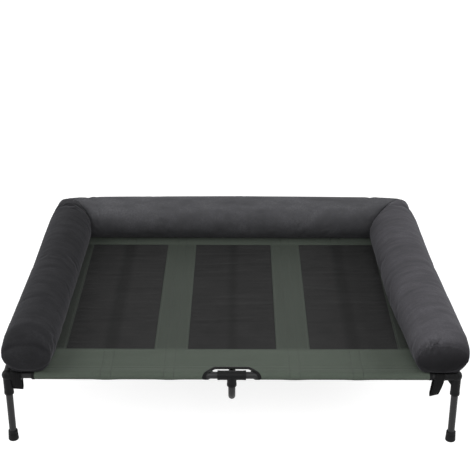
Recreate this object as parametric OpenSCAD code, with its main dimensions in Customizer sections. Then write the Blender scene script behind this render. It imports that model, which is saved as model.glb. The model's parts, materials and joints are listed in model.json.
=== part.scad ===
// Raised dog cot: a knock-down tube frame, a sling with mesh windows and a three-sided bolster.
// Millimetres, Z up. The origin is on the floor under the middle, and the open front faces -Y.

/* [Frame] */
// Leg axis to leg axis along the length
frame_length = 1190; // [1000:5:1500]
// Leg axis to leg axis along the depth
frame_depth = 890; // [700:5:1100]
// Height of the rail axes above the floor
rail_height = 205; // [170:1:300]
// Outer diameter of the steel tubes
tube_d = 19; // [16:0.5:25]
// Wall of the steel tubes
tube_wall = 1.2; // [0.8:0.1:2]
// Radial clearance of a tube in a moulded socket
tube_fit = 0.2; // [0.1:0.05:0.4]

/* [Moulded connectors] */
// Wall of every socket at its mouth
socket_wall = 2.7; // [2:0.1:4]
// Draft of a socket, added to its radius at the root
socket_draft = 0.5; // [0:0.1:1]
// Height of the rim round each socket's mouth
socket_rim = 0.6; // [0.4:0.1:1.5]
// Width of that rim
socket_rim_w = 7; // [4:0.5:10]
// Leg axis to the mouth of a rail socket
rail_socket_len = 38; // [32:1:60]
// Rail axis down to the mouth of a leg socket
leg_socket_len = 57; // [45:1:80]
// Corner axis to the end of each tube inside a corner bracket
tube_stop = 16; // [15:0.5:20]
// Rise of the round knuckle at a corner over the sockets
knuckle_rise = 2.6; // [2:0.2:5]
// Reach of the corner webs along a rail
web_rail_reach = 31; // [26:1:36]
// Reach of the corner webs down the leg
web_leg_reach = 47; // [38:1:56]
// Thickness of the corner webs
web_t = 5; // [3:0.5:8]
// Length of a centre tee along the rail
tee_len = 76; // [60:1:88]
// Wall inside a tee between the two rail ends
tee_web = 8; // [4:1:16]
// Rail axis down to the mouth of a tee's lower socket
tee_drop = 31; // [26:1:50]

/* [Feet and centre brace] */
// Height of a rubber foot
foot_height = 30; // [20:1:45]
// Wall of a foot round its tube, at the top
foot_wall = 2.9; // [2:0.1:5]
// Flare of a foot, from its top radius to its base radius
foot_flare = 1.5; // [0.5:0.5:5]
// Rubber under the end of the leg tube
foot_floor = 6; // [3:0.5:10]
// Rounding of a foot's lower edge
foot_edge = 3; // [1:0.5:4]
// Height of a foot's collar, over its groove
foot_collar = 10; // [6:0.5:14]
// Depth and height of that groove
foot_groove = 1.2; // [0.6:0.2:1.6]
// Radial clearance of a leg tube in its foot
foot_fit = 0.1; // [0:0.05:0.2]
// Rail axis down to the centre brace's low run
brace_drop = 79; // [70:1:110]
// Bend radius of the centre brace, on its axis
brace_bend_r = 34; // [28:1:45]

/* [Sling] */
// Thickness of the sling cloth
cloth_t = 1.2; // [0.8:0.1:2]
// Thickness of the mesh in the windows
mesh_t = 0.8; // [0.5:0.1:1.2]
// Radial clearance of a tube in its hem
hem_fit = 0.3; // [0.2:0.05:0.6]
// Flap of a hem that is sewn under the border
hem_flap = 30; // [20:1:40]
// Rail axis to a mesh window at the two short sides
border_side = 140; // [110:1:170]
// Rail axis to a mesh window at the two long sides
border_front = 116; // [80:1:150]
// Width of the two cloth bands between the windows
cross_band = 92; // [60:1:120]
// Seam overlap of the mesh under the cloth
mesh_seam = 12; // [8:1:20]
// Flare of a centre notch on each side, from its inner end to the outer edge of the hem
notch_flare = 24; // [15:1:40]
// Room past each end of a tee at the inner end of its notch
notch_side_room = 6.5; // [5:0.5:20]
// Room behind a tee in its notch
notch_back_room = 2; // [1.5:0.5:10]
// Corner radius inside a centre notch
notch_round = 9; // [5:0.5:12]
// Width of the binding tape along the cut edges
binding_w = 7; // [5:0.5:10]
// Thickness of the binding tape
binding_t = 0.6; // [0.4:0.1:1]
// Width of the webbing sewn under the sling
webbing_w = 30; // [20:1:40]
// Thickness of that webbing
webbing_t = 1.4; // [1:0.1:2]

/* [Bolster] */
// Diameter of the two side rolls
side_roll_d = 142; // [128:1:160]
// Diameter of the back roll
back_roll_d = 134; // [126:1:160]
// Diameter of the rolls where they are drawn in at the corner seams
seam_d = 125; // [118:1:136]
// Height of the rolls' axis above their flattened underside
roll_axis_rise = 58; // [50:1:60]
// Overhang of the bolster past the long rails' axes
roll_overhang = 30; // [15:1:40]
// Overhang of the side rolls past the short rails' axes
side_overhang = 4; // [0:1:14]
// Outward bow of a side roll's front end
roll_bow = 10; // [0:1:16]
// Length of the rounded front end of a side roll
roll_end_len = 62; // [45:1:80]
// Rounding from a side roll to its end panel, at the panel's two sides
end_round_side = 4; // [2:1:12]
// The same at the panel's top and bottom
end_round_high = 27; // [12:1:34]
// Drop of the end panel's middle under the roll's axis
end_drop = 11; // [0:1:14]
// Crown of the end panel
end_crown = 12; // [6:1:20]
// Forward slope of the end panel, from its bottom to its top
end_slope = 0.12; // [0:0.02:0.24]
// Depth of the seam groove round the end panel
end_seam_depth = 2; // [0:0.5:4]
// Rounding of the rolls' outer side at a corner seam
corner_round = 14; // [0:1:20]
// Stretch over which a roll turns into its corner seam
corner_blend = 60; // [40:1:90]
// Thickness of the padded bolster cover
cover_t = 4; // [3:0.5:8]
// Gap between bodies of cloth that lie against each other
rest_gap = 0.3; // [0.2:0.05:0.6]

/* [Bolster straps] */
// Room along the rail on each side of a strap
strap_room = 1.5; // [1:0.5:8]
// Width of a strap
strap_w = 25; // [20:1:40]
// Thickness of a strap
strap_t = 1.5; // [1:0.1:1.8]
// Rail axis down to the bottom of a strap's loop
strap_drop = 62; // [40:1:80]

/* [Hidden] */
$fn = 48;
// Overshoot of every cut
cut = 1;
// Sides and angular step of the bolster's rolls
roll_sides = 32;
fill_sides = 24;
end_step = 15;
// Share of the way from an end panel's middle to its seam at each of its rings
panel_steps = [0.4, 0.8, 1];
// Share of the way through a roll's corner at each of its rings
corner_steps = [0, 0.3, 0.55, 0.75, 0.9, 1];
body_rings = 4;
// Straight steps in a rounded corner of a notch
notch_steps = 6;

half_length = frame_length / 2;
half_depth = frame_depth / 2;
socket_bore = tube_d + 2 * tube_fit;
socket_d = socket_bore + 2 * socket_wall;
mouth_r = socket_d / 2 + socket_rim;
knuckle_d = socket_d + 2 * knuckle_rise;
brace_stop = socket_d / 2;
brace_height = rail_height - brace_drop;
foot_bore_r = tube_d / 2 + foot_fit;
foot_top_r = foot_bore_r + foot_wall;
foot_base_r = foot_top_r + foot_flare;
corner_cut_r = rail_socket_len + strap_w + 2 * strap_room;
notch_throat = tee_len + 2 * notch_side_room;
notch_depth = mouth_r + notch_back_room;
hem_r = tube_d / 2 + hem_fit;
hem_outer_r = hem_r + cloth_t;
border_z = rail_height + hem_outer_r;
deck_z = border_z + cloth_t;
window_w = (frame_length - 2 * border_side - 2 * cross_band) / 3;
window_d = frame_depth - 2 * border_front;
window_pitch = window_w + cross_band;
webbing_z = rail_height + hem_r - webbing_t;
webbing_half = half_depth - hem_outer_r - rest_gap;
strap_start = rail_socket_len + strap_room;
strap_outer_r = hem_r + strap_t;
strap_tongue = sqrt(pow(corner_cut_r - rest_gap, 2) - pow(strap_start + strap_w, 2));
roll_base = rail_height + rest_gap
    + max(mouth_r, hem_outer_r + cloth_t + binding_t, strap_outer_r + strap_t);
roll_axis_z = roll_base + roll_axis_rise;
side_x = half_length + side_overhang - side_roll_d / 2;
back_y = half_depth + roll_overhang - back_roll_d / 2;

CORNERS = [["front_left", -1, -1], ["front_right", 1, -1], ["back_left", -1, 1], ["back_right", 1, 1]];
ENDS = [["front", -1], ["back", 1]];
SIDES = [["left", -1], ["right", 1]];
PANELS = [["left", -1], ["centre", 0], ["right", 1]];
WEBBINGS = [["far_left", -1], ["near_left", -0.5], ["near_right", 0.5], ["far_right", 1]];

function named(stem, places) = [for (p = places) str(stem, "_", p[0])];

// Mirrors what is drawn for the front left corner to any corner
module on_corner(c) {
    mirror([c[1] > 0 ? 1 : 0, 0, 0])
        mirror([0, c[2] > 0 ? 1 : 0, 0])
            children();
}

// Mirrors what is drawn on the left to either side
module on_side(s) {
    mirror([s[1] > 0 ? 1 : 0, 0, 0])
        children();
}

// Mirrors what is drawn at the front to either long side
module on_end(e) {
    mirror([0, e[1] > 0 ? 1 : 0, 0])
        children();
}

// The front left corner's own place: X and Y point into the cot, the origin is where the axes meet
module at_corner() {
    translate([-half_length, -half_depth, rail_height])
        children();
}

module along_x() {
    rotate([0, 90, 0])
        children();
}

module along_y() {
    rotate([-90, 0, 0])
        children();
}

// A profile drawn as across and up, run along X with across pointing to +Y
module run_x() {
    rotate([90, 0, 90])
        children();
}

// A profile drawn as across and up, run along Y with across pointing to +X
module run_y() {
    rotate([90, 0, 0])
        children();
}

module tube(length) {
    difference() {
        cylinder(d = tube_d, h = length);
        translate([0, 0, -cut])
            cylinder(d = tube_d - 2 * tube_wall, h = length + 2 * cut);
    }
}

// Frame tubes
module rail() {
    color("#34363a")
        translate([-half_length + tube_stop, -half_depth, rail_height])
            along_x()
                tube(half_length - tube_stop - tee_web / 2);
}

module side_rail() {
    color("#34363a")
        translate([-half_length, -half_depth + tube_stop, rail_height])
            along_y()
                tube(frame_depth - 2 * tube_stop);
}

module leg() {
    color("#3b3d41")
        translate([-half_length, -half_depth, foot_floor])
            tube(rail_height - tube_stop - foot_floor);
}

// Ring of the brace tube's wall, for its bends
module tube_section() {
    difference() {
        circle(d = tube_d);
        circle(d = tube_d - 2 * tube_wall);
    }
}

// One upright and bend of the brace, at the front
module brace_end() {
    translate([0, -half_depth, brace_height + brace_bend_r])
        tube(rail_height - brace_stop - brace_height - brace_bend_r);
    translate([0, -half_depth + brace_bend_r, brace_height + brace_bend_r])
        rotate([0, 90, 0])
            rotate([0, 0, -90])
                rotate_extrude(angle = 90)
                    translate([brace_bend_r, 0])
                        tube_section();
}

module centre_brace() {
    run = half_depth - brace_bend_r;
    color("#3b3d41") {
        for (e = ENDS) on_end(e) brace_end();
        translate([0, -run, brace_height])
            along_y()
                tube(2 * run);
    }
}

// A moulded socket along Z, from the axis it starts on to its rimmed mouth
module socket(length) {
    cylinder(d1 = socket_d + 2 * socket_draft, d2 = socket_d, h = length);
    translate([0, 0, length - socket_rim_w])
        cylinder(r = mouth_r, h = socket_rim_w);
}

module bore(start, length) {
    translate([0, 0, start])
        cylinder(d = socket_bore, h = length - start + cut);
}

// Triangular stiffening web in the plane of two sockets
module web(reach_a, reach_b) {
    linear_extrude(web_t, center = true)
        polygon([[0, 0], [reach_a, 0], [0, reach_b]]);
}

// Three-way corner moulding: two rails and a leg push into it up to their stops
module corner_bracket() {
    color("#1f2023")
        at_corner()
            difference() {
                union() {
                    sphere(d = knuckle_d);
                    along_x() socket(rail_socket_len);
                    along_y() socket(rail_socket_len);
                    rotate([180, 0, 0]) socket(leg_socket_len);
                    run_y() web(web_rail_reach, -web_leg_reach);
                    run_x() web(web_rail_reach, -web_leg_reach);
                    web(web_rail_reach, web_rail_reach);
                }
                along_x() bore(tube_stop, rail_socket_len);
                along_y() bore(tube_stop, rail_socket_len);
                rotate([180, 0, 0]) bore(tube_stop, leg_socket_len);
            }
}

// Tee that joins the two halves of a long rail and holds one end of the centre brace
module tee() {
    color("#1f2023")
        translate([0, -half_depth, rail_height])
            difference() {
                union() {
                    for (s = SIDES) on_side(s) rotate([0, -90, 0]) socket(tee_len / 2);
                    rotate([180, 0, 0]) socket(tee_drop);
                }
                for (s = SIDES) on_side(s) rotate([0, -90, 0]) bore(tee_web / 2, tee_len / 2);
                rotate([180, 0, 0]) bore(brace_stop, tee_drop);
            }
}

// Rubber cap foot: a tapered cup with a rounded lower edge and a groove under its collar
module foot() {
    lip = foot_wall / 2;
    inner = foot_base_r - foot_edge;
    function wall_r(z) = foot_base_r - foot_flare * (z - foot_edge) / (foot_height - lip - foot_edge);
    low = foot_height - foot_collar - foot_groove;
    high = foot_height - foot_collar;
    edge = [for (a = [-90:15:0]) [inner + foot_edge * cos(a), foot_edge + foot_edge * sin(a)]];
    color("#17181a")
        translate([-half_length, -half_depth, 0])
            rotate_extrude()
                polygon(concat(
                    [[0, 0]], edge,
                    [[wall_r(low), low], [wall_r(low) - foot_groove, low],
                     [wall_r(high) - foot_groove, high], [wall_r(high), high],
                     [foot_top_r, foot_height - lip], [foot_top_r - lip, foot_height],
                     [foot_bore_r, foot_height], [foot_bore_r, foot_floor], [0, foot_floor]]));
}

// Plan of a centre notch, about the middle of a long rail, with its walls moved out by grow
module notch(grow) {
    rise = hem_outer_r + notch_depth;
    wall = sqrt(pow(notch_flare, 2) + pow(rise, 2));
    inner = notch_depth + grow;
    throat = notch_throat / 2 + grow * (wall - notch_flare) / rise;
    round_r = notch_round + grow;
    centre = [throat - round_r * (wall - notch_flare) / rise, inner - round_r];
    lean = atan2(notch_flare, rise);
    arc = [for (i = [0:notch_steps])
        let (a = lean + (90 - lean) * i / notch_steps)
        centre + round_r * [cos(a), sin(a)]];
    past = 2 * hem_outer_r;
    mouth = [arc[0][0] + (arc[0][1] + past) * notch_flare / rise, -past];
    right = concat([mouth], arc);
    left = [for (i = [len(right) - 1:-1:0]) [-right[i][0], right[i][1]]];
    polygon(concat(right, left));
}

// Everything cut out of the sling's edge, in plan: four corners and two notches
module edge_cuts(grow = 0) {
    for (c = CORNERS) on_corner(c) translate([-half_length, -half_depth]) circle(corner_cut_r + grow);
    for (e = ENDS) on_end(e) translate([0, -half_depth]) notch(grow);
}

module tall_cuts() {
    translate([0, 0, rail_height - 2 * hem_outer_r])
        linear_extrude(4 * hem_outer_r)
            edge_cuts();
}

// Cloth top of the sling, with three windows
module sling_border() {
    color("#565c55")
        translate([0, 0, border_z])
            linear_extrude(cloth_t)
                difference() {
                    square([frame_length, frame_depth], center = true);
                    for (p = PANELS) translate([p[1] * window_pitch, 0])
                        square([window_w, window_d], center = true);
                    edge_cuts();
                }
}

// Section of a hem: a sleeve round the tube and the flap sewn under the border
module hem_section() {
    difference() {
        union() {
            circle(hem_outer_r);
            translate([0, hem_r]) square([hem_flap, cloth_t]);
        }
        circle(hem_r);
    }
}

module hem() {
    color("#50564f")
        difference() {
            at_corner() run_x() linear_extrude(half_length) hem_section();
            tall_cuts();
        }
}

module side_hem() {
    color("#50564f")
        difference() {
            translate([-half_length, 0, rail_height])
                run_y() linear_extrude(frame_depth, center = true) hem_section();
            tall_cuts();
        }
}

// Mesh window, sewn under the border all round
module mesh(place) {
    color("#303030")
        translate([place * window_pitch, 0, border_z - mesh_t])
            linear_extrude(mesh_t)
                square([window_w + 2 * mesh_seam, window_d + 2 * mesh_seam], center = true);
}

// Webbing that runs from hem to hem under the sling
module webbing(place) {
    color("#202020")
        translate([place * window_pitch, 0, webbing_z])
            linear_extrude(webbing_t)
                square([webbing_w, 2 * webbing_half], center = true);
}

// Section of the tape that wraps a cut edge: over the cloth, down its front and round the hem
module binding_section() {
    reach = corner_cut_r + binding_w;
    tape_r = hem_outer_r + binding_t;
    top = hem_outer_r + cloth_t;
    difference() {
        union() {
            circle(tape_r);
            translate([-binding_t, hem_r]) square([reach, top + binding_t - hem_r]);
        }
        circle(hem_outer_r);
        translate([0, hem_r - cut]) square([reach + cut, top - hem_r + cut]);
    }
}

module edge_binding() {
    color("#121212")
        intersection() {
            union() {
                for (e = ENDS) on_end(e) translate([0, -half_depth, rail_height])
                    run_x() linear_extrude(frame_length, center = true) binding_section();
                for (s = SIDES) on_side(s) translate([-half_length, 0, rail_height])
                    run_y() linear_extrude(frame_depth, center = true) binding_section();
            }
            translate([0, 0, rail_height - 2 * hem_outer_r])
                linear_extrude(4 * hem_outer_r)
                    difference() {
                        edge_cuts(binding_w);
                        edge_cuts();
                    }
        }
}

// Rings of a roll as [place along its axis, half width, half height, lift, lean, slope], each inset from the
// cover's outside. A lean turns a ring towards its corner seam, and a slope tips its top forwards
function panel_rings(tip, half_w, half_h) =
    [for (q = panel_steps)
        [tip + end_crown * pow(q, 2) + (q == 1 ? end_seam_depth : 0),
         half_w * q, half_h * q, -end_drop, 0, end_slope]];

function shoulder_rings(seam, r, half_w, half_h) =
    [for (a = [end_step:end_step:90])
        let (grow = pow(sin(a), 0.8), rest = 1 - sin(a))
        [seam + (roll_end_len - end_crown) * (1 - cos(a)),
         half_w + (r - half_w) * grow, half_h + (r - half_h) * grow, -end_drop * rest, 0, end_slope * rest]];

function body_rings_between(a, b, r) =
    [for (i = [1:body_rings]) [a + (b - a) * i / (body_rings + 1), r, r, 0, 0, 0]];

// A corner's rings end in the slanting seam, where the roll is drawn in
function corner_rings(seam, r, seam_r) =
    [for (t = corner_steps)
        let (drawn = r + (seam_r - r) * pow(t, 3))
        [seam - (r + corner_blend) * (1 - t), drawn, drawn, 0, t, 0]];

function reversed(rings) =
    [for (i = [len(rings) - 1:-1:0]) let (g = rings[i]) [-g[0], g[1], g[2], g[3], -g[4], g[5]]];

// Half of a corner seam's gap, measured along a roll, and the same grown by an inset
function seam_back(inset) = rest_gap / 2 * sqrt(2) + inset * sqrt(2);

// Start of an end panel's crown: its slope brings the panel's foremost place out to the overhang
function end_tip(inset) =
    let (half_h = side_roll_d / 2 - inset - end_round_high)
    -half_depth - roll_overhang + inset + pow(end_slope * half_h, 2) / (4 * end_crown);

function side_corner(inset) =
    corner_rings(back_y - seam_back(inset), side_roll_d / 2 - inset, seam_d / 2 - inset);

function side_roll_rings(inset) =
    let (
        r = side_roll_d / 2 - inset,
        half_w = r - end_round_side,
        half_h = r - end_round_high,
        panel = panel_rings(end_tip(inset), half_w, half_h),
        shoulder = shoulder_rings(end_tip(inset) + end_crown, r, half_w, half_h),
        corner = side_corner(inset),
        body = body_rings_between(end_tip(inset) + roll_end_len, corner[0][0], r)
    )
    concat(panel, shoulder, body, corner);

function back_roll_rings(inset) =
    let (
        r = back_roll_d / 2 - inset,
        corner = corner_rings(side_x - seam_back(inset), r, seam_d / 2 - inset)
    )
    concat(reversed(corner), body_rings_between(-corner[0][0], corner[0][0], r), corner);

// Point of a ring at an angle about the roll's axis, where X is the roll's inner side
function ring_point(ring, a) =
    let (
        outer = cos(a) < 0 ? corner_round * pow(ring[4], 2) : 0,
        across = (ring[1] - outer) * cos(a),
        up = ring[2] * sin(a)
    )
    [across, ring[0] - ring[4] * across - ring[5] * up, ring[3] + up];

// Closed roll along Y from a tip over its rings, bowed outwards more and more in front of a bend
module roll(tip, rings, sides, inset, bow, bend) {
    flat = roll_axis_rise - inset;
    count = len(rings);
    last = count * sides + 1;
    drawn = concat(
        [tip],
        [for (ring = rings) for (i = [0:sides - 1]) ring_point(ring, 360 * i / sides)],
        [[0, rings[count - 1][0], 0]]);
    points = [for (p = drawn)
        [p[0] - bow * pow(max(0, bend - p[1]) / (bend - tip[1]), 2), p[1], max(p[2], -flat)]];
    function at(k, i) = 1 + k * sides + i % sides;
    walls = [for (k = [0:count - 2]) for (i = [0:sides - 1]) for (half = [0, 1])
        half == 0 ? [at(k, i), at(k, i + 1), at(k + 1, i)]
                  : [at(k, i + 1), at(k + 1, i + 1), at(k + 1, i)]];
    near_end = [for (i = [0:sides - 1]) [0, at(0, i + 1), at(0, i)]];
    far_end = [for (i = [0:sides - 1]) [last, at(count - 1, i), at(count - 1, i + 1)]];
    polyhedron(points, concat(walls, near_end, far_end));
}

module side_roll(inset, sides) {
    tip = [0, end_tip(inset), -end_drop];
    translate([-side_x, 0, roll_axis_z])
        roll(tip, side_roll_rings(inset), sides, inset, roll_bow, side_corner(inset)[0][0]);
}

module back_roll(inset, sides) {
    rings = back_roll_rings(inset);
    tip = [0, rings[0][0], 0];
    translate([0, back_y, roll_axis_z])
        rotate([0, 0, -90])
            roll(tip, rings, sides, inset, 0, 0);
}

module bolster_cover() {
    color("#67646a")
        difference() {
            side_roll(0, roll_sides);
            side_roll(cover_t, fill_sides);
        }
}

module bolster_cover_back() {
    color("#67646a")
        difference() {
            back_roll(0, roll_sides);
            back_roll(cover_t, fill_sides);
        }
}

module bolster_fill() {
    color("#e8e6e1")
        side_roll(cover_t + rest_gap, fill_sides);
}

module bolster_fill_back() {
    color("#e8e6e1")
        back_roll(cover_t + rest_gap, fill_sides);
}

// Outline of a strap's hanging loop, drawn as across and up from the rail's axis
module loop_outline(r, drop) {
    circle(r);
    translate([-r, -drop + r]) square([2 * r, drop - r]);
    translate([0, -drop + r]) circle(r);
}

// Webbing loop round the bare rail beside a corner, with a tongue sewn under the side roll
module bolster_strap() {
    tongue_top = roll_base - rail_height - rest_gap;
    color("#141414")
        at_corner()
            translate([strap_start, 0, 0])
                run_x()
                    linear_extrude(strap_w)
                        difference() {
                            union() {
                                loop_outline(strap_outer_r, strap_drop);
                                translate([0, tongue_top - strap_t]) square([strap_tongue, strap_t]);
                                translate([0, hem_r]) square([strap_t, tongue_top - hem_r]);
                            }
                            loop_outline(hem_r, strap_drop - strap_t);
                        }
}

for (c = CORNERS) {
    on_corner(c) rail();
    on_corner(c) corner_bracket();
    on_corner(c) leg();
    on_corner(c) foot();
    on_corner(c) hem();
    on_corner(c) bolster_strap();
}
for (s = SIDES) {
    on_side(s) side_rail();
    on_side(s) side_hem();
    on_side(s) bolster_cover();
    on_side(s) bolster_fill();
}
for (e = ENDS) {
    on_end(e) tee();
}
for (p = PANELS) {
    mesh(p[1]);
}
for (w = WEBBINGS) {
    webbing(w[1]);
}
centre_brace();
sling_border();
edge_binding();
bolster_cover_back();
bolster_fill_back();
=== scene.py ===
"""Builds the looks of a raised dog cot round its solids.

A dressed steel frame, a sewn sling with its webbing, strap loops and a stuffed bolster. Sizes are in metres.
"""

import json
import logging
import math
from collections.abc import Callable, Iterable, Sequence
from dataclasses import dataclass, field
from enum import Enum

import bmesh
import bpy
import numpy as np
from bmesh.types import BMesh
from mathutils import Matrix, Vector

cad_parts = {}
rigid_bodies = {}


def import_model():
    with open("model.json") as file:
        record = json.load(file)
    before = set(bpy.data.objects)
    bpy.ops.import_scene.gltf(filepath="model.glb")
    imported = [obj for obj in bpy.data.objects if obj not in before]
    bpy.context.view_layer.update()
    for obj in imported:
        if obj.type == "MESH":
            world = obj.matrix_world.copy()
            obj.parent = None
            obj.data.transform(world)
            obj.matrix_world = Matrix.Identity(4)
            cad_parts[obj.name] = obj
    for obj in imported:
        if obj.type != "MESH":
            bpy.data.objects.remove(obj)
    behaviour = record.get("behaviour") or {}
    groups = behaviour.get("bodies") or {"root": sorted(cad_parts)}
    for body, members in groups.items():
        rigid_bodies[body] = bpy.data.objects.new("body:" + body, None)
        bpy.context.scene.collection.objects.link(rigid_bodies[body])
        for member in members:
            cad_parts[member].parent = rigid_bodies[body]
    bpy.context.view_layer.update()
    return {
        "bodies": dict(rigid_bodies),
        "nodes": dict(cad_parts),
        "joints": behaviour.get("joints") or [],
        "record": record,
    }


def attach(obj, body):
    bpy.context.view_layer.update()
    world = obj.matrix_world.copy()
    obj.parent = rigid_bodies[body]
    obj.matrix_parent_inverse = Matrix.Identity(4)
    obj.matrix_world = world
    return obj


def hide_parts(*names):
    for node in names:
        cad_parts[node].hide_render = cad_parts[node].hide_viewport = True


LOG = logging.getLogger("cot")
BODY = "cot"
END_PANEL = "end_panel"
Socket = bpy.types.NodeSocket
Amount = float | Socket
Plan = tuple[float, float]
Row = tuple[Plan, Plan]
Colour = tuple[float, float, float, float]
BLACK: Colour = (0.0, 0.0, 0.0, 1.0)
WHITE: Colour = (1.0, 1.0, 1.0, 1.0)


class Named(Enum):
    """Choices whose names stand in the solids' names."""

    @property
    def label(self) -> str:
        """The name as the solids have it."""
        return self.name.lower()


class Corner(Named):
    """Corners of the cot, by the signs of their X and Y."""

    FRONT_LEFT = (-1, -1)
    FRONT_RIGHT = (1, -1)
    BACK_LEFT = (-1, 1)
    BACK_RIGHT = (1, 1)


class Panel(Named):
    """Windows of the sling, by their place in steps of the window pitch."""

    LEFT = -1
    CENTRE = 0
    RIGHT = 1


class Band(Named):
    """Webbing bands under the sling, by their place in steps of the window pitch."""

    FAR_LEFT = -1.0
    NEAR_LEFT = -0.5
    NEAR_RIGHT = 0.5
    FAR_RIGHT = 1.0


class Coords(Enum):
    """Coordinates that a pattern may follow."""

    OBJECT = "Object"
    FLAT = "UV"


class Across(Enum):
    """Direction across which a pattern's ribs repeat."""

    X = "X"
    Y = "Y"


def linear(red: float, green: float, blue: float) -> Colour:
    """Turns a colour as seen on a screen into the shader's linear one.

    Args:
        red: Red from 0 to 255.
        green: Green from 0 to 255.
        blue: Blue from 0 to 255.

    Returns:
        The linear colour with full alpha.
    """

    def one(c: float) -> float:
        """One channel of the colour."""
        s = c / 255
        return s / 12.92 if s <= 0.04045 else ((s + 0.055) / 1.055) ** 2.4

    return one(red), one(green), one(blue), 1.0


class Graph:
    """Node tree of one finish, with short ways to add nodes and wire them."""

    def __init__(self, name: str) -> None:
        """Starts a material whose Principled shader is wired to its output.

        Args:
            name: Name of the material.
        """
        self.material = bpy.data.materials.new(name)
        self.material.use_nodes = True
        self.tree = self.material.node_tree
        self.tree.nodes.clear()
        self.shader = self.add("ShaderNodeBsdfPrincipled")
        output = self.add("ShaderNodeOutputMaterial")
        self.feed(output.inputs["Surface"], self.shader.outputs["BSDF"])

    def add(self, kind: str, **settings: object) -> bpy.types.Node:
        """Adds a node.

        Args:
            kind: The node's type name.
            **settings: Values of the node's own properties.

        Returns:
            The new node.
        """
        node = self.tree.nodes.new(kind)
        for key, value in settings.items():
            setattr(node, key, value)
        return node

    def feed(self, socket: Socket, amount: object) -> None:
        """Wires an output to a socket, or sets the socket's own value.

        Args:
            socket: The input to feed.
            amount: An output socket, or a plain value.
        """
        if isinstance(amount, bpy.types.NodeSocket):
            self.tree.links.new(amount, socket)
        else:
            socket.default_value = amount

    def set(self, **values: object) -> None:
        """Feeds the shader's sockets, named with underscores for spaces."""
        for key, value in values.items():
            self.feed(self.shader.inputs[key.replace("_", " ")], value)

    def coords(self, kind: Coords, stretch: Sequence[float] = (1, 1, 1), turn: float = 0.0) -> Socket:
        """Gives coordinates, stretched and turned.

        Args:
            kind: Which coordinates to read.
            stretch: Scale along each axis.
            turn: Turn about Z, in radians.

        Returns:
            The vector output.
        """
        mapping = self.add("ShaderNodeMapping")
        self.feed(mapping.inputs["Vector"], self.add("ShaderNodeTexCoord").outputs[kind.value])
        mapping.inputs["Scale"].default_value = stretch
        mapping.inputs["Rotation"].default_value = (0, 0, turn)
        return mapping.outputs["Vector"]

    def noise(self, vector: Socket, scale: float, detail: float = 2.0, rough: float = 0.5) -> Socket:
        """Adds a noise pattern.

        Args:
            vector: Coordinates that it follows.
            scale: Lumps per metre, about.
            detail: Finer layers on top.
            rough: Strength of the finer layers.

        Returns:
            The pattern, from 0 to 1.
        """
        node = self.add("ShaderNodeTexNoise")
        for key, value in (("Vector", vector), ("Scale", scale), ("Detail", detail), ("Roughness", rough)):
            self.feed(node.inputs[key], value)
        return node.outputs[0]

    def ribs(self, vector: Socket, pitch: float, across: Across) -> Socket:
        """Adds even ribs, one to each pitch.

        Args:
            vector: Coordinates that they follow.
            pitch: Distance from rib to rib, in metres.
            across: Direction in which they repeat.

        Returns:
            The ribs' height, from 0 to 1.
        """
        node = self.add("ShaderNodeTexWave", wave_type="BANDS", bands_direction=across.value)
        self.feed(node.inputs["Vector"], vector)
        self.feed(node.inputs["Scale"], math.pi / 10 / pitch)
        return node.outputs["Fac"]

    def weave(self, vector: Socket, pitch: float) -> Socket:
        """Adds a plain weave, where warp and weft pass over each other in turn.

        Args:
            vector: Coordinates that it follows.
            pitch: Width of a thread, in metres.

        Returns:
            The threads' height, from 0 to 1.
        """
        over = self.add("ShaderNodeTexChecker")
        self.feed(over.inputs["Vector"], vector)
        self.feed(over.inputs["Scale"], 1 / pitch)
        warp, weft = (self.ribs(vector, pitch, across) for across in Across)
        return self.blend(over.outputs["Fac"], warp, weft)

    def sum(self, operation: str, a: Amount, b: Amount = 0.0) -> Socket:
        """Adds a Math node.

        Args:
            operation: Name of the operation.
            a: First value.
            b: Second value.

        Returns:
            The result.
        """
        node = self.add("ShaderNodeMath", operation=operation)
        self.feed(node.inputs[0], a)
        self.feed(node.inputs[1], b)
        return node.outputs[0]

    def blend(self, factor: Amount, a: Amount, b: Amount) -> Socket:
        """Blends two values.

        Args:
            factor: 0 gives the first and 1 the second.
            a: First value.
            b: Second value.

        Returns:
            The blended value.
        """
        node = self.add("ShaderNodeMix", data_type="FLOAT")
        for place, value in ((0, factor), (2, a), (3, b)):
            self.feed(node.inputs[place], value)
        return node.outputs[0]

    def tint(self, factor: Amount, a: object, b: object) -> Socket:
        """Blends two colours.

        Args:
            factor: 0 gives the first and 1 the second.
            a: First colour.
            b: Second colour.

        Returns:
            The blended colour.
        """
        node = self.add("ShaderNodeMix", data_type="RGBA")
        for place, value in ((0, factor), (6, a), (7, b)):
            self.feed(node.inputs[place], value)
        return node.outputs[2]

    def spread(self, value: Socket, low: float, high: float, to: Plan = (0.0, 1.0)) -> Socket:
        """Stretches a value's range and clamps it.

        Args:
            value: The value to stretch.
            low: What becomes the first end.
            high: What becomes the second end.
            to: The two ends.

        Returns:
            The stretched value.
        """
        node = self.add("ShaderNodeMapRange", clamp=True)
        for place, amount in enumerate((value, low, high, *to)):
            self.feed(node.inputs[place], amount)
        return node.outputs[0]

    def seen(self) -> Socket:
        """Gives 1 to rays from the camera, from reflections and through glass, and 0 to all others."""
        rays = self.add("ShaderNodeLightPath").outputs
        seen = self.sum("MAXIMUM", rays["Is Camera Ray"], rays["Is Glossy Ray"])
        return self.sum("MAXIMUM", seen, rays["Is Transmission Ray"])

    def axis(self, vector: Socket, name: str) -> Socket:
        """Takes one axis of a vector.

        Args:
            vector: The vector.
            name: The axis.

        Returns:
            The part along the axis.
        """
        node = self.add("ShaderNodeSeparateXYZ")
        self.feed(node.inputs[0], vector)
        return node.outputs[name]

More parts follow.
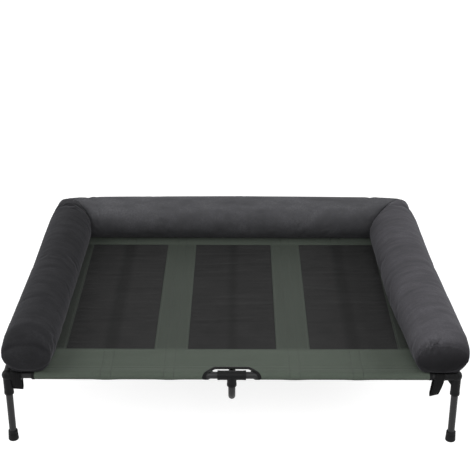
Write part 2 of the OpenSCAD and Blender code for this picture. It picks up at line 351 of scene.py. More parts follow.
    def bump(
        self, height: Socket, depth: float, strength: float = 1.0, under: Socket | None = None
    ) -> Socket:
        """Adds relief.

        Args:
            height: Pattern of the relief, from 0 to 1.
            depth: Its depth in metres.
            strength: Share of it that shows.
            under: Relief that it lies on.

        Returns:
            The normal to feed a shader.
        """
        node = self.add("ShaderNodeBump")
        self.feed(node.inputs["Strength"], strength)
        self.feed(node.inputs["Distance"], depth)
        self.feed(node.inputs["Height"], height)
        if under is not None:
            self.feed(node.inputs["Normal"], under)
        return node.outputs["Normal"]


class WorldGraph(Graph):
    """Node tree of the light that surrounds the cot."""

    def __init__(self, world: bpy.types.World) -> None:
        """Takes the world's own tree, with its background as the shader.

        Args:
            world: The world to light.
        """
        world.use_nodes = True
        self.tree = world.node_tree
        self.shader = self.tree.nodes["Background"]


def scaled(colour: Colour, share: float) -> Colour:
    """Makes a linear colour lighter or darker.

    Args:
        colour: The colour.
        share: What each channel is multiplied by.

    Returns:
        The new colour.
    """
    return (*(min(1.0, c * share) for c in colour[:3]), 1.0)


@dataclass(frozen=True)
class Finish:
    """What every finish has: its name, its colour and its gloss."""

    name: str
    colour: Colour
    roughness: float
    specular: float = 0.5

    def material(self) -> bpy.types.Material:
        """Gives the finish's material, which is made on first use.

        Returns:
            The material.
        """
        made = bpy.data.materials.get(self.name)
        if made is None:
            g = Graph(self.name)
            g.set(Specular_IOR_Level=self.specular)
            self.build(g)
            made = g.material
        return made

    def build(self, g: Graph) -> None:
        """Wires the finish's nodes; each kind of finish has its own."""
        raise NotImplementedError

    def shades(self, dark: float, pale: float) -> tuple[Colour, Colour]:
        """The finish's colour, once darker and once paler."""
        return scaled(self.colour, dark), scaled(self.colour, pale)

    def gloss(self, less: float, more: float) -> Plan:
        """The finish's roughness, once less and once more."""
        return self.roughness - less, self.roughness + more


@dataclass(frozen=True)
class PowderCoat(Finish):
    """Baked powder on steel tube, with a fine orange peel and a little dust."""

    specular: float = 0.28
    peel: float = 900.0

    def build(self, g: Graph) -> None:
        """Wires the coat's peel, cloudiness and gloss.

        Args:
            g: Graph to fill.
        """
        place = g.coords(Coords.OBJECT)
        cloud = g.noise(place, 16, 4, 0.6)
        peel = g.noise(place, self.peel, 1)
        fine = g.noise(place, self.peel * 4, 2)
        dust = g.spread(g.noise(place, 70, 5, 0.7), 0.52, 0.78)
        coat = g.tint(cloud, *self.shades(0.82, 1.2))
        g.set(Base_Color=g.tint(g.sum("MULTIPLY", dust, 0.22), coat, scaled(self.colour, 2.4)))
        g.set(Roughness=g.spread(cloud, 0.25, 0.75, self.gloss(0.08, 0.1)))
        g.set(Normal=g.bump(fine, 0.00006, 0.6, g.bump(peel, 0.00022, 0.7)))


@dataclass(frozen=True)
class MouldedPlastic(Finish):
    """Moulded plastic with an etched grain, worn a little paler where it is handled."""

    specular: float = 0.12
    grain: float = 1500.0
    depth: float = 0.00016

    def build(self, g: Graph) -> None:
        """Wires the grain, the flow marks and the worn patches.

        Args:
            g: Graph to fill.
        """
        place = g.coords(Coords.OBJECT)
        grain = g.noise(place, self.grain, 3, 0.65)
        flow = g.noise(g.coords(Coords.OBJECT, (1, 1, 0.25)), 42, 3, 0.55)
        wear_and_light = g.spread(g.noise(place, 120, 6, 0.72), 0.56, 0.8)
        body = g.tint(flow, *self.shades(0.78, 1.22))
        g.set(Base_Color=g.tint(g.sum("MULTIPLY", wear_and_light, 0.3), body, scaled(self.colour, 2.2)))
        g.set(Roughness=g.spread(flow, 0.2, 0.8, self.gloss(0.07, 0.09)))
        g.set(Normal=g.bump(grain, self.depth, 0.75, g.bump(flow, 0.0003, 0.35)))


@dataclass(frozen=True)
class SlingCloth(Finish):
    """Coated plain-weave cloth, with slubs in its threads and shallow pull creases.

    Its colour carries painted shade: it is darkest in the strips beside the side rolls, darker between the
    windows than in front of them and behind them, and darker in the creases' troughs and the weave's
    hollows. It carries painted light on the creases' ridges and where it turns round the long rails, which
    is paler.
    """

    specular: float = 0.2
    thread: float = 0.0011
    band_edge: float = 0.329
    side_edge: float = 0.454
    turn_edge: float = 0.447
    # Shares of the colour that the painted shade keeps between the windows and beside the side rolls, and
    # the painted light's share on the sleeve turns.
    cross_shade_keep: float = 0.6
    side_shade_keep: float = 0.28
    sleeve_light_share: float = 0.15

    def build(self, g: Graph) -> None:
        """Wires the weave, the slubs, the creases along each band, and the painted shade and painted light.

        Args:
            g: Graph to fill.
        """
        flat = g.coords(Coords.FLAT)
        weave = g.weave(flat, self.thread)
        ways = (30, 620, 1), (620, 30, 1)
        slub = g.blend(0.5, *(g.noise(g.coords(Coords.FLAT, way), 1, 2) for way in ways))
        along = g.noise(g.coords(Coords.FLAT, (3.2, 42, 1), 0.02), 1, 4, 0.58)
        across = g.noise(g.coords(Coords.FLAT, (46, 2.6, 1)), 1, 4, 0.58)
        off_x, off_y = (g.sum("ABSOLUTE", g.axis(flat, name)) for name in "XY")
        reach = g.spread(off_y, self.band_edge - 0.008, self.band_edge + 0.008)
        crease = g.blend(reach, across, along)
        cloud = g.noise(flat, 7, 3, 0.5)
        # Painted shade in the creases' troughs and painted light on their ridges, mixed with random tone.
        tone = g.blend(0.45, g.spread(crease, 0.3, 0.7), g.spread(cloud, 0.3, 0.7))
        body = g.tint(tone, *self.shades(0.86, 1.13))
        slubs = g.tint(g.spread(slub, 0.36, 0.64), *self.shades(0.8, 1.2))
        cloth = g.tint(0.35, body, slubs)
        # Painted shade: darker between the windows, and darkest in the strips beside the side rolls.
        side = g.spread(off_x, self.side_edge - 0.004, self.side_edge + 0.012)
        dark = g.blend(reach, g.blend(side, 1.0 - self.cross_shade_keep, 1.0 - self.side_shade_keep), 0.0)
        # Painted light: the cloth is paler where it turns round the long rails.
        wear_and_light = g.spread(off_y, self.turn_edge, self.turn_edge + 0.012, (0.0, self.sleeve_light_share))
        cloth = g.tint(wear_and_light, g.tint(dark, cloth, BLACK), scaled(self.colour, 3.0))
        # Painted shade in the weave's hollows: where the threads dip, the colour is drawn towards
        # near-black.
        deep = g.spread(weave, 0.0, 0.5)
        g.set(Base_Color=g.tint(deep, g.tint(0.4, cloth, (0.01, 0.012, 0.01, 1.0)), cloth))
        g.set(Roughness=g.spread(slub, 0.3, 0.7, self.gloss(0.05, 0.08)))
        g.set(Sheen_Weight=0.06, Sheen_Roughness=0.45)
        g.set(Normal=g.bump(weave, 0.0003, 0.55, g.bump(crease, 0.0022, 0.5)))


@dataclass(frozen=True)
class WindowMesh(Finish):
    """Dense coated mesh, round threads with a pinhole at each crossing."""

    specular: float = 0.08
    thread: float = 0.0019
    # Half-width and share of the painted shade of the band under the mesh's middle.
    under_shade_half: float = 0.015
    under_shade_share: float = 0.26
    open_share: float = 0.35

    def build(self, g: Graph) -> None:
        """Wires the threads, the pinholes, the ripples and the painted shade of what lies under the mesh.

        Args:
            g: Graph to fill.
        """
        flat = g.coords(Coords.FLAT)
        warp, weft = (g.ribs(flat, self.thread, across) for across in Across)
        weave = g.weave(flat, self.thread)
        hole = g.sum("MULTIPLY", g.spread(warp, 0.2, 0.04), g.spread(weft, 0.2, 0.04))
        ripple = g.noise(g.coords(Coords.FLAT, (4.5, 70, 1), 0.05), 1, 4, 0.62)
        cloud = g.noise(flat, 9, 3, 0.5)
        # Painted shade in the ripples' troughs and painted light on their ridges, mixed with random tone.
        tone = g.blend(0.5, g.spread(ripple, 0.3, 0.7), g.spread(cloud, 0.3, 0.7))
        off_x = g.sum("ABSOLUTE", g.axis(flat, "X"))
        # Painted shade of the band that lies under the middle of the mesh: webbing under the side windows,
        # the centre brace under the middle one.
        under_shade = g.spread(off_x, self.under_shade_half + 0.012, self.under_shade_half - 0.006, (0.0, self.under_shade_share))
        body = g.tint(under_shade, g.tint(tone, *self.shades(0.8, 1.22)), BLACK)
        # Painted shade in the weave's hollows round the pinholes.
        deep = g.tint(0.55, body, (0.004, 0.004, 0.004, 1.0))
        g.set(Base_Color=g.tint(g.spread(weave, 0.0, 0.6), deep, body))
        g.set(Roughness=g.spread(weave, 0.0, 1.0, (self.roughness + 0.15, self.roughness)))
        g.set(Alpha=g.sum("SUBTRACT", 1.0, g.sum("MULTIPLY", hole, self.open_share)))
        g.set(Normal=g.bump(weave, 0.0005, 0.6, g.bump(ripple, 0.0016, 0.5)))


@dataclass(frozen=True)
class Tape(Finish):
    """Woven tape: cross ribs broken by the lengthwise cords."""

    specular: float = 0.12
    rib: float = 0.0015
    cord: float = 0.0042
    depth: float = 0.0006

    def build(self, g: Graph) -> None:
        """Wires the ribs and the cords, which follow the tape's own length.

        Args:
            g: Graph to fill.
        """
        flat = g.coords(Coords.FLAT)
        ribs = g.ribs(flat, self.rib, Across.Y)
        cords = g.ribs(flat, self.cord, Across.X)
        height = g.blend(0.55, ribs, cords)
        fuzz = g.noise(flat, 900, 3, 0.6)
        worn = g.noise(flat, 35, 4, 0.6)
        body = g.tint(worn, *self.shades(0.75, 1.35))
        # Painted shade in the hollows between the ribs and cords.
        g.set(Base_Color=g.tint(g.spread(height, 0.1, 0.6), scaled(self.colour, 0.45), body))
        g.set(Roughness=g.spread(fuzz, 0.3, 0.7, self.gloss(0.06, 0.08)))
        g.set(Normal=g.bump(fuzz, 0.0001, 0.5, g.bump(height, self.depth, 0.7)))


@dataclass(frozen=True)
class Plush(Finish):
    """Short dense plush, brushed here and there against its nap."""

    specular: float = 0.06
    nap_turn: float = 0.0
    pale: float = 1.3
    # Share of the colour that the end panel keeps under its painted shade.
    panel_shade_keep: float = 1.0
    # Painted shade that darkens the lower part of the roll, and the heights over which it grows.
    low_shade_share: float = 0.0
    low_shade_from: Plan = (0.335, 0.25)
    sheen: float = 0.12

    def build(self, g: Graph) -> None:
        """Wires the pile, its clumps, the brushed patches, the painted shade on the lower part and the
        painted shade on the end panel.

        Args:
            g: Graph to fill.
        """
        place = g.coords(Coords.OBJECT)
        pile = g.noise(place, 1300, 3, 0.6)
        clump = g.noise(place, 210, 3, 0.55)
        stroke = g.noise(g.coords(Coords.OBJECT, (0.45, 1.5, 0.45), self.nap_turn), 28, 5, 0.6)
        broad = g.noise(place, 3.4, 3, 0.5)
        nap = g.spread(g.blend(0.3, stroke, broad), 0.38, 0.62)
        fibre = g.tint(nap, *self.shades(0.72, self.pale))
        speck = g.blend(0.5, pile, clump)
        cover = g.tint(g.spread(speck, 0.34, 0.66), scaled(self.colour, 0.8), fibre)
        # Painted shade: the roll is darker towards its bottom.
        height = g.sum("ADD", g.axis(place, "Z"), g.sum("MULTIPLY", g.sum("SUBTRACT", broad, 0.5), 0.05))
        low = g.spread(height, *self.low_shade_from, (0.0, self.low_shade_share))
        cover = g.tint(low, cover, (0.004, 0.004, 0.0045, 1.0))
        # Painted shade on the end panel.
        panel = g.add("ShaderNodeAttribute", attribute_name=END_PANEL).outputs["Fac"]
        g.set(Base_Color=g.tint(panel, cover, g.tint(1.0 - self.panel_shade_keep, cover, BLACK)))
        g.set(Roughness=g.spread(nap, 0.0, 1.0, (self.roughness, self.roughness - 0.12)))
        g.set(Sheen_Weight=self.sheen, Sheen_Roughness=0.36, Sheen_Tint=(0.86, 0.85, 0.92, 1.0))
        g.set(Normal=g.bump(pile, 0.0006, 0.35, g.bump(clump, 0.0010, 0.35, g.bump(stroke, 0.003, 0.3))))


@dataclass(frozen=True)
class Thread(Finish):
    """Twisted sewing thread."""

    def build(self, g: Graph) -> None:
        """Wires the thread's twist.

        Args:
            g: Graph to fill.
        """
        place = g.coords(Coords.OBJECT)
        ply = g.noise(place, 2600, 2)
        g.set(Base_Color=g.tint(ply, *self.shades(0.7, 1.3)))
        g.set(Roughness=self.roughness, Normal=g.bump(ply, 0.0001, 0.5))


def unit(t: float) -> float:
    """Keeps a share between 0 and 1."""
    return min(1.0, max(0.0, t))


def eased(t: float) -> float:
    """Goes from 0 to 1 as a share does, and is level at both ends."""
    return unit(t) ** 2 * (3 - 2 * unit(t))


def bell(t: float) -> float:
    """A smooth hump, 1 at zero and all but gone past two."""
    return math.exp(-t * t)


def graded(marks: Sequence[float], step: float) -> list[float]:
    """Fills the stretches between marks with even steps.

    Args:
        marks: Places that have to be there, in order.
        step: The longest step.

    Returns:
        All the places, in order.
    """
    places = [marks[0]]
    for a, b in zip(marks, marks[1:]):
        count = max(1, math.ceil((b - a) / step - 1e-6))
        places.extend(a + (b - a) * (i + 1) / count for i in range(count))
    return places


def grid_over(xs: Sequence[float], ys: Sequence[float]) -> BMesh:
    """Makes a flat grid with its lines at given places, and its flat place as its UV map.

    Args:
        xs: Places of the lines across X.
        ys: Places of the lines across Y.

    Returns:
        The grid.
    """
    bm = bmesh.new()
    bmesh.ops.create_grid(bm, x_segments=len(xs) - 1, y_segments=len(ys) - 1, size=0.5)
    for v in bm.verts:
        v.co.x = xs[round((v.co.x + 0.5) * (len(xs) - 1))]
        v.co.y = ys[round((v.co.y + 0.5) * (len(ys) - 1))]
    uv = bm.loops.layers.uv.new("flat")
    for face in bm.faces:
        for loop in face.loops:
            loop[uv].uv = loop.vert.co.xy
    return bm


def ribbon(path: Sequence[Vector], across: Sequence[Vector]) -> BMesh:
    """Draws out an edge along a path, as flat tape runs, with the tape's own length as its UV map.

    Args:
        path: Middle of the tape, point by point.
        across: Half of the tape's width at each point, as a vector.

    Returns:
        The tape's middle surface.
    """
    bm = bmesh.new()
    uv = bm.loops.layers.uv.new("flat")
    sides = (-1, -0.33, 0.33, 1)
    row = [bm.verts.new(path[0] + side * across[0]) for side in sides]
    edges = [bm.edges.new(pair) for pair in zip(row, row[1:])]
    length, half = 0.0, across[0].length
    for k in range(1, len(path)):
        made = bmesh.ops.extrude_edge_only(bm, edges=edges)["geom"]
        verts, edges, faces = (
            [g for g in made if isinstance(g, kind)]
            for kind in (bmesh.types.BMVert, bmesh.types.BMEdge, bmesh.types.BMFace)
        )
        new = sorted(verts, key=lambda v: nearest(v.co, row))
        edges = [e for e in edges if set(e.verts) <= set(new)]
        further = length + (path[k] - path[k - 1]).length
        flat = {}
        for old, v, side in zip(row, new, sides):
            v.co = path[k] + side * across[k]
            flat[old], flat[v] = (side * half, length), (side * half, further)
        for face in faces:
            for loop in face.loops:
                loop[uv].uv = flat[loop.vert]
        row, length = new, further
    bmesh.ops.recalc_face_normals(bm, faces=bm.faces)
    return bm


def nearest(point: Vector, row: Sequence[bmesh.types.BMVert]) -> int:
    """Gives which vertex of a row lies at a point.

    Args:
        point: The point.
        row: The row of vertices.

    Returns:
        The vertex's place in the row.
    """
    return min(range(len(row)), key=lambda i: (row[i].co - point).length_squared)


def to_mesh(name: str, bm: BMesh) -> bpy.types.Mesh:
    """Turns a bmesh into a mesh, and frees it.

    Args:
        name: Name of the mesh.
        bm: The bmesh.

    Returns:
        The mesh.
    """
    mesh = bpy.data.meshes.new(name)
    bm.to_mesh(mesh)
    bm.free()
    return mesh


def put(name: str, data: bpy.types.ID) -> bpy.types.Object:
    """Puts a mesh, a lamp or a camera into the scene.

    Args:
        name: Name of its object.
        data: What is put there.

    Returns:
        The object.
    """
    thing = bpy.data.objects.new(name, data)
    bpy.context.scene.collection.objects.link(thing)
    return thing


def make_piece(
    name: str, bm: BMesh, finish: Finish, stands_for: Iterable[str] = ()
) -> bpy.types.Object:
    """Turns a bmesh into a smooth-shaded piece that rides on the cot.

    Args:
        name: Name of the piece.
        bm: Its mesh, which is freed.
        finish: Its finish.
        stands_for: Solids that it is shown instead of.

    Returns:
        The piece.
    """
    for face in bm.faces:
        face.smooth = True
    mesh = to_mesh(name, bm)
    mesh.materials.append(finish.material())
    piece = put(name, mesh)
    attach(piece, BODY)
    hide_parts(*stands_for)
    LOG.info("%s: %d faces in %s", name, len(mesh.polygons), finish.name)
    return piece


def thicken(piece: bpy.types.Object, thickness: float) -> None:
    """Gives a sheet its thickness, evenly to both sides.

    Args:
        piece: The sheet.
        thickness: Its thickness in metres.
    """
    solid = piece.modifiers.new("thickness", "SOLIDIFY")
    solid.thickness = thickness
    solid.offset = 0.0


@dataclass
class Fitted:
    """What is made to the frame: where the rails lie, and how the stretched sling gives between them."""

    half_length: float = 0.595
    half_depth: float = 0.445
    rail_height: float = 0.205
    pitch: float = 0.334
    sag: float = 0.0035

    def height(self, x: float, y: float) -> float:
        """How far the sling lies above its level.

        Args:
            x: Place across the cot.
            y: Place along its depth.

        Returns:
            The height in metres, below zero where it sags.
        """
        across = max(0.0, 1 - (x / self.half_length) ** 2)
        along = max(0.0, 1 - (y / self.half_depth) ** 2)
        return -self.sag * across * along


@dataclass
class Outline:
    """A rounded cut in the sling's edge, as a chain of points in plan round a middle."""

    points: list[Plan]
    middle: Plan

    def holds(self, x: float, y: float) -> bool:
        """Whether a point lies in the cut.

        Args:
            x: The point's X.
            y: The point's Y.

        Returns:
            True inside the chain, on its middle's side.
        """
        for (ax, ay), (bx, by) in zip(self.points, self.points[1:]):
            side = (bx - ax) * (y - ay) - (by - ay) * (x - ax)
            home = (bx - ax) * (self.middle[1] - ay) - (by - ay) * (self.middle[0] - ax)
            if side * home < 0:
                return False
        return True

    def score(self, bm: BMesh, reach: float = 0.03) -> None:
        """Cuts the outline's lines into the faces that it crosses.

        Args:
            bm: Mesh to cut.
            reach: How far from a line's middle its faces are looked for, besides half of its length.
        """
        for (ax, ay), (bx, by) in zip(self.points, self.points[1:]):
            mid = Vector(((ax + bx) / 2, (ay + by) / 2, 0))
            far = math.hypot(bx - ax, by - ay) / 2 + reach
            faces = [f for f in bm.faces if (f.calc_center_median().xy - mid.xy).length < far]
            geom = [*{e for f in faces for e in f.edges}, *{v for f in faces for v in f.verts}, *faces]
            across = (by - ay, ax - bx, 0)
            bmesh.ops.bisect_plane(bm, geom=geom, dist=1e-7, plane_co=mid, plane_no=across)


@dataclass
class Sling(Fitted):
    """Sewn sling: cloth in sleeves round the rails, three mesh windows, bound cut-outs and seams."""

    cloth: float = 0.0012
    turn_r: float = 0.0116
    flap: float = 0.030
    window: Plan = (0.242, 0.658)
    mesh_seam: float = 0.012
    mesh_t: float = 0.0008
    corner_cut: float = 0.066
    notch_throat: float = 0.0445
    notch_depth: float = 0.015
    notch_flare: float = 0.024
    notch_round: float = 0.009
    binding_w: float = 0.007
    binding_t: float = 0.0006
    groove: float = 0.0009
    groove_w: float = 0.0022
    groove_to: float = 0.0065
    groove_end: float = 0.006
    deck_step: float = 0.02
    turn_step: float = 0.003
    flap_step: float = 0.01
    mesh_step: float = 0.006
    corner_square: float = 0.02
    ripple_edge: float = 0.012
    ripple_top: float = 0.004
    band_swell: float = 0.0016
    band_swell_w: float = 0.022
    seam_inset: float = 0.005
    hem_insets: Plan = (0.015, 0.027)
    hem_starts: Plan = (0.086, 0.002)
    hem_clear: float = 0.004
    hem_lean: float = 0.35
    webbing_edge: float = 0.0135
    webbing_clear: float = 0.008
    thread_half: float = 0.0005
    dark_thread_half: float = 0.0008
    thread_rise: float = 0.0004
    stitch_pitch: float = 0.0048
    stitch: float = 0.0036
    cloth_finish: Finish = SlingCloth("sling_canvas", linear(79, 87, 78), 0.75)
    mesh_finish: Finish = WindowMesh("window_mesh", linear(54, 54, 54), 0.75)
    centre_mesh: Finish = WindowMesh(
        "centre_window_mesh", linear(51, 51, 51), 0.75, under_shade_half=0.008, under_shade_share=0.22
    )
    binding_finish: Finish = Tape(
        "binding_tape", linear(24, 24, 25), 0.72, rib=0.0009, cord=0.0035, depth=0.0003
    )
    thread_finish: Finish = Thread("sewing_thread", linear(66, 72, 66), 0.6)
    dark_thread: Finish = Thread("webbing_thread", linear(30, 33, 30), 0.6)

    def build(self) -> None:
        """Builds the cloth, the binding, the mesh windows and the seams."""
        quarter = self.quarter()
        cuts = [self.corner_outline(0.0), self.notch_outline(0.0)]
        grown = [self.corner_outline(self.binding_w), self.notch_outline(self.binding_w)]
        for outline in (*cuts, *grown):
            outline.score(quarter)
        trim = [
            self.binding(quarter.copy(), cuts, grown),
            self.seams("sling_stitching", self.rows(), self.thread_half, self.thread_finish),
            self.seams("webbing_stitching", self.webbing_rows(), self.dark_thread_half, self.dark_thread),
        ]
        self.border(quarter, cuts, trim)
        for panel in Panel:
            self.mesh_window(panel)

    @property
    def half_window(self) -> Plan:
        """Half the width and half the depth of a window."""
        return self.window[0] / 2, self.window[1] / 2

    @property
    def level(self) -> float:
        """Height of the cloth's middle on the deck."""
        return self.rail_height + self.turn_r

    def turn(self) -> float:
        """Length of cloth in one turn round a rail."""
        return 2 * math.pi * (self.turn_r - self.cloth / 2)

    def wrapped(self, x: float, y: float) -> Vector:
        """Bends a place on the flat cut, in its first quarter, round the rails.

        Args:
            x: Flat place across.
            y: Flat place along the depth.

        Returns:
            Where it lies on the cot.
        """

        def bend(s: float, edge: float) -> Plan:
            """Place across and up of a point that lies a length past a rail's top."""
            if s <= self.turn():
                angle = 2 * math.pi * s / self.turn()
                r = self.turn_r - self.cloth * angle / (2 * math.pi)
                return edge + r * math.sin(angle), self.rail_height + r * math.cos(angle)
            return edge - (s - self.turn()), self.level - self.cloth

        if y > self.half_depth:
            across, up = bend(y - self.half_depth, self.half_depth)
            return Vector((x, across, up))
        if x > self.half_length:
            across, up = bend(x - self.half_length, self.half_length)
            return Vector((across, y, up))
        return Vector((x, y, self.level))

    def quarter(self) -> BMesh:
        """Makes a quarter of the cut cloth, bent round its two rails, with its windows cut out.

        Returns:
            The quarter, where X and Y are above zero.
        """
        half_w, half_d = self.half_window
        marks_x = {0, half_w, self.pitch - half_w, self.pitch + half_w, self.half_length}
        marks_y = {0, half_d, self.half_depth}
        for (ax, ay), (bx, _) in self.rows() + self.webbing_rows():
            marks, seam = (marks_x, ax) if ax == bx else (marks_y, ay)
            marks.update(abs(seam) + k * self.groove_w for k in (-2, -1, 0, 1, 2))

        def lines(marks: set[float]) -> list[float]:
            """Grid lines over the deck, the sleeve and its flap."""
            edge = max(marks)
            hem = edge + self.turn()
            sleeve = graded([edge, hem], self.turn_step)[1:]
            flap = graded([hem, hem + self.flap], self.flap_step)[1:]
            return graded(sorted(marks), self.deck_step) + sleeve + flap

        bm = grid_over(lines(marks_x), lines(marks_y))
        gone = []
        for face in bm.faces:
            x, y, _ = face.calc_center_median()
            in_window = y < half_d and (x < half_w or abs(x - self.pitch) < half_w)
            past = x - self.half_length, y - self.half_depth
            if in_window or (min(past) > -self.corner_square and max(past) > 0):
                gone.append(face)
        bmesh.ops.delete(bm, geom=gone, context="FACES")
        for v in bm.verts:
            v.co = self.wrapped(v.co.x, v.co.y)
        return bm

    def corner_outline(self, grow: float) -> Outline:
        """Outline of a corner's cut-out, in the first quarter.

        Args:
            grow: How far past the cut it lies.

        Returns:
            The outline.
        """
        r = self.corner_cut + grow
        first, sweep, count = 165, 120, 18
        angles = [math.radians(first + k * sweep / count) for k in range(count + 1)]
        points = [(self.half_length + r * math.cos(a), self.half_depth + r * math.sin(a)) for a in angles]
        return Outline(points, (self.half_length, self.half_depth))

    def notch_outline(self, grow: float) -> Outline:
        """Outline of half a notch for the rail's joint, in the first quarter.

        Args:
            grow: How far past the cut it lies.

        Returns:
            The outline.
        """
        rise = self.turn_r - self.cloth / 2 + self.notch_depth
        wall = math.hypot(self.notch_flare, rise)
        lead = (wall - self.notch_flare) / rise
        r = self.notch_round + grow
        middle = (self.notch_throat + grow * lead - r * lead, self.notch_depth + grow - r)
        lean = math.atan2(self.notch_flare, rise)
        count, past, hair = 6, 0.022, 0.001
        arc = []
        for k in range(count + 1):
            a = lean + (math.pi / 2 - lean) * k / count
            arc.append((middle[0] + r * math.cos(a), middle[1] + r * math.sin(a)))
        mouth = (arc[0][0] + (arc[0][1] + past) * self.notch_flare / rise, -past)
        chain = [mouth, *arc, (-hair, arc[-1][1])]
        return Outline([(x, self.half_depth - y) for x, y in chain], (hair, self.half_depth))

    def mirrored(self, bm: BMesh) -> BMesh:
        """Mirrors a quarter to all four, with the flat map's signs, and lays it to the sling's relief.

        Args:
            bm: The quarter.

        Returns:
            The same mesh, whole.
        """
        for axis in ("X", "Y"):
            geom = [*bm.verts, *bm.edges, *bm.faces]
            bmesh.ops.mirror(bm, geom=geom, matrix=Matrix.Identity(4), merge_dist=1e-5, axis=axis)
        bmesh.ops.recalc_face_normals(bm, faces=bm.faces)
        uv = bm.loops.layers.uv["flat"]
        for face in bm.faces:
            for loop in face.loops:
                u, v = loop[uv].uv
                loop[uv].uv = (math.copysign(u, loop.vert.co.x), math.copysign(v, loop.vert.co.y))
        for v in bm.verts:
            v.co.z += self.height(v.co.x, v.co.y)
        return bm

    def border(self, bm: BMesh, cuts: Sequence[Outline], trim: Sequence[bpy.types.Object]) -> None:
        """Builds the cloth of the sling.

        Args:
            bm: Its quarter, with the outlines scored.
            cuts: What is cut out of it.
            trim: The pieces that are sewn on it; not used.
        """
        gone = [f for f in bm.faces if any(c.holds(*f.calc_center_median().xy) for c in cuts)]
        bmesh.ops.delete(bm, geom=gone, context="FACES")
        area = 4 * sum(f.calc_area() for f in bm.faces)
        self.mirrored(bm)
        rows = self.rows() + self.webbing_rows()
        for v in bm.verts:
            self.ease(v)
            self.press(v, rows)
        hems = [f"hem_{c.label}" for c in Corner] + ["side_hem_left", "side_hem_right"]
        piece = make_piece("sling_cloth", bm, self.cloth_finish, ["sling_border", *hems])
        thicken(piece, self.cloth)

    def ease(self, v: bmesh.types.BMVert) -> None:
        """Lets a sleeve stand off its rail a little where a webbing band ends in it.

        Args:
            v: A vertex of the cloth.
        """
        inside, above, fade = 0.013, 0.004, 0.012
        low = self.rail_height + above - v.co.z
        if abs(v.co.y) > self.half_depth - inside and low > 0:
            for band in Band:
                swell = self.band_swell * bell((v.co.x - band.value * self.pitch) / self.band_swell_w)
                v.co.z -= swell * min(1.0, low / fade)

    def press(self, v: bmesh.types.BMVert, rows: Sequence[Row]) -> None:
        """Presses the cloth down along its seams.

        Args:
            v: A vertex of the cloth.
            rows: The rows of stitches.
        """
        if v.co.z < self.level - self.groove_to:
            return
        deepest = 0.0
        for (ax, ay), (bx, by) in rows:
            off_x = max(0.0, min(ax, bx) - v.co.x, v.co.x - max(ax, bx))
            off_y = max(0.0, min(ay, by) - v.co.y, v.co.y - max(ay, by))
            off = math.hypot(off_x, off_y) / self.groove_w
            if off < 3:
                deepest = max(deepest, bell(off))
        v.co.z -= self.groove * deepest

    def binding(self, bm: BMesh, cuts: Sequence[Outline], grown: Sequence[Outline]) -> bpy.types.Object:
        """Builds the tape that is folded over the cut edges.

        Args:
            bm: The cloth's quarter, with the outlines scored.
            cuts: The cut edges.
            grown: How far the tape reaches from them.

        Returns:
            The tape.
        """
        kept = set()
        for face in bm.faces:
            x, y, _ = face.calc_center_median()
            for cut, far in zip(cuts, grown):
                if far.holds(x, y) and not cut.holds(x, y):
                    kept.add(face)
        bmesh.ops.delete(bm, geom=[f for f in bm.faces if f not in kept], context="FACES")
        self.mirrored(bm)
        piece = make_piece("edge_binding_tape", bm, self.binding_finish, ["edge_binding"])
        thicken(piece, self.cloth + 2 * self.binding_t)
        return piece

    def mesh_window(self, panel: Panel) -> None:
        """Builds one mesh window, drawn into shallow ripples by its seams.

        Args:
            panel: Which window.
        """
        w, d = self.window[0] + 2 * self.mesh_seam, self.window[1] + 2 * self.mesh_seam
        half_w, half_d = self.half_window
        bm = grid_over(*(graded([-size / 2, size / 2], self.mesh_step) for size in (w, d)))
        level = self.level - (self.cloth + self.mesh_t) / 2
        middle = panel.value * self.pitch
        dice = np.random.default_rng(20 + panel.value)
        ripples = self.ripples(panel, dice)
        for v in bm.verts:
            x, y = v.co.xy
            inside = min(half_w - abs(x), half_d - abs(y))
            rise = sum(ripple(x, y) for ripple in ripples) * unit(inside / self.ripple_edge)
            v.co = (x + middle, y, level + self.height(x + middle, y) + min(rise, self.ripple_top))
        finish = self.centre_mesh if panel is Panel.CENTRE else self.mesh_finish
        piece = make_piece(f"mesh_window_{panel.label}", bm, finish, [f"mesh_{panel.label}"])
        thicken(piece, self.mesh_t)

    def ripples(self, panel: Panel, dice: np.random.Generator) -> list[Callable[[float, float], float]]:
        """Chooses a window's ripples: short puckers off its long seams and a few long pulls across it.

        Args:
            panel: Which window.
            dice: Where the chance comes from.

        Returns:
            Functions of a place in the window that give each ripple's height.
        """
        made = []
        half_w, half_d = self.half_window
        margin, pulls, pull_rise = 0.01, 9, 0.0021

        def pucker(x0: float, y0: float, reach: float, lean: float, width: float, rise: float) -> Callable:
            """One ridge that dies out to both sides of where it starts."""

            def height(x: float, y: float) -> float:
                """The ridge's height at a place."""
                along = abs(x - x0) / reach
                off = (y - y0 - lean * (x - x0)) / width
                return rise * math.exp(-(off**2) - along**2) if off * off < 9 and along < 2.6 else 0.0

            return height

        for side in (-1, 1):
            outer = side == panel.value
            y = -half_d + margin
            while y < half_d - margin:
                rise = dice.uniform(0.0008, 0.0021) * (1.8 if outer else 0.8)
                reach = dice.uniform(0.018, 0.05) * (1.4 if outer else 1.0)
                lean, width = dice.uniform(-0.12, 0.12), dice.uniform(0.0035, 0.007)
                made.append(pucker(side * half_w, y, reach, lean, width, rise))
                y += dice.uniform(0.016, 0.034)
        for _ in range(pulls):
            y = half_d * (1 - 1.5 * dice.uniform(0, 1) ** 1.5)
            lean = dice.uniform(0.0, 0.16) * (1 if panel is not Panel.RIGHT else -0.6)
            x, reach, width = dice.uniform(-0.07, 0.07), dice.uniform(0.06, 0.12), dice.uniform(0.006, 0.011)
            made.append(pucker(x, y, reach, lean, width, pull_rise))
        return made

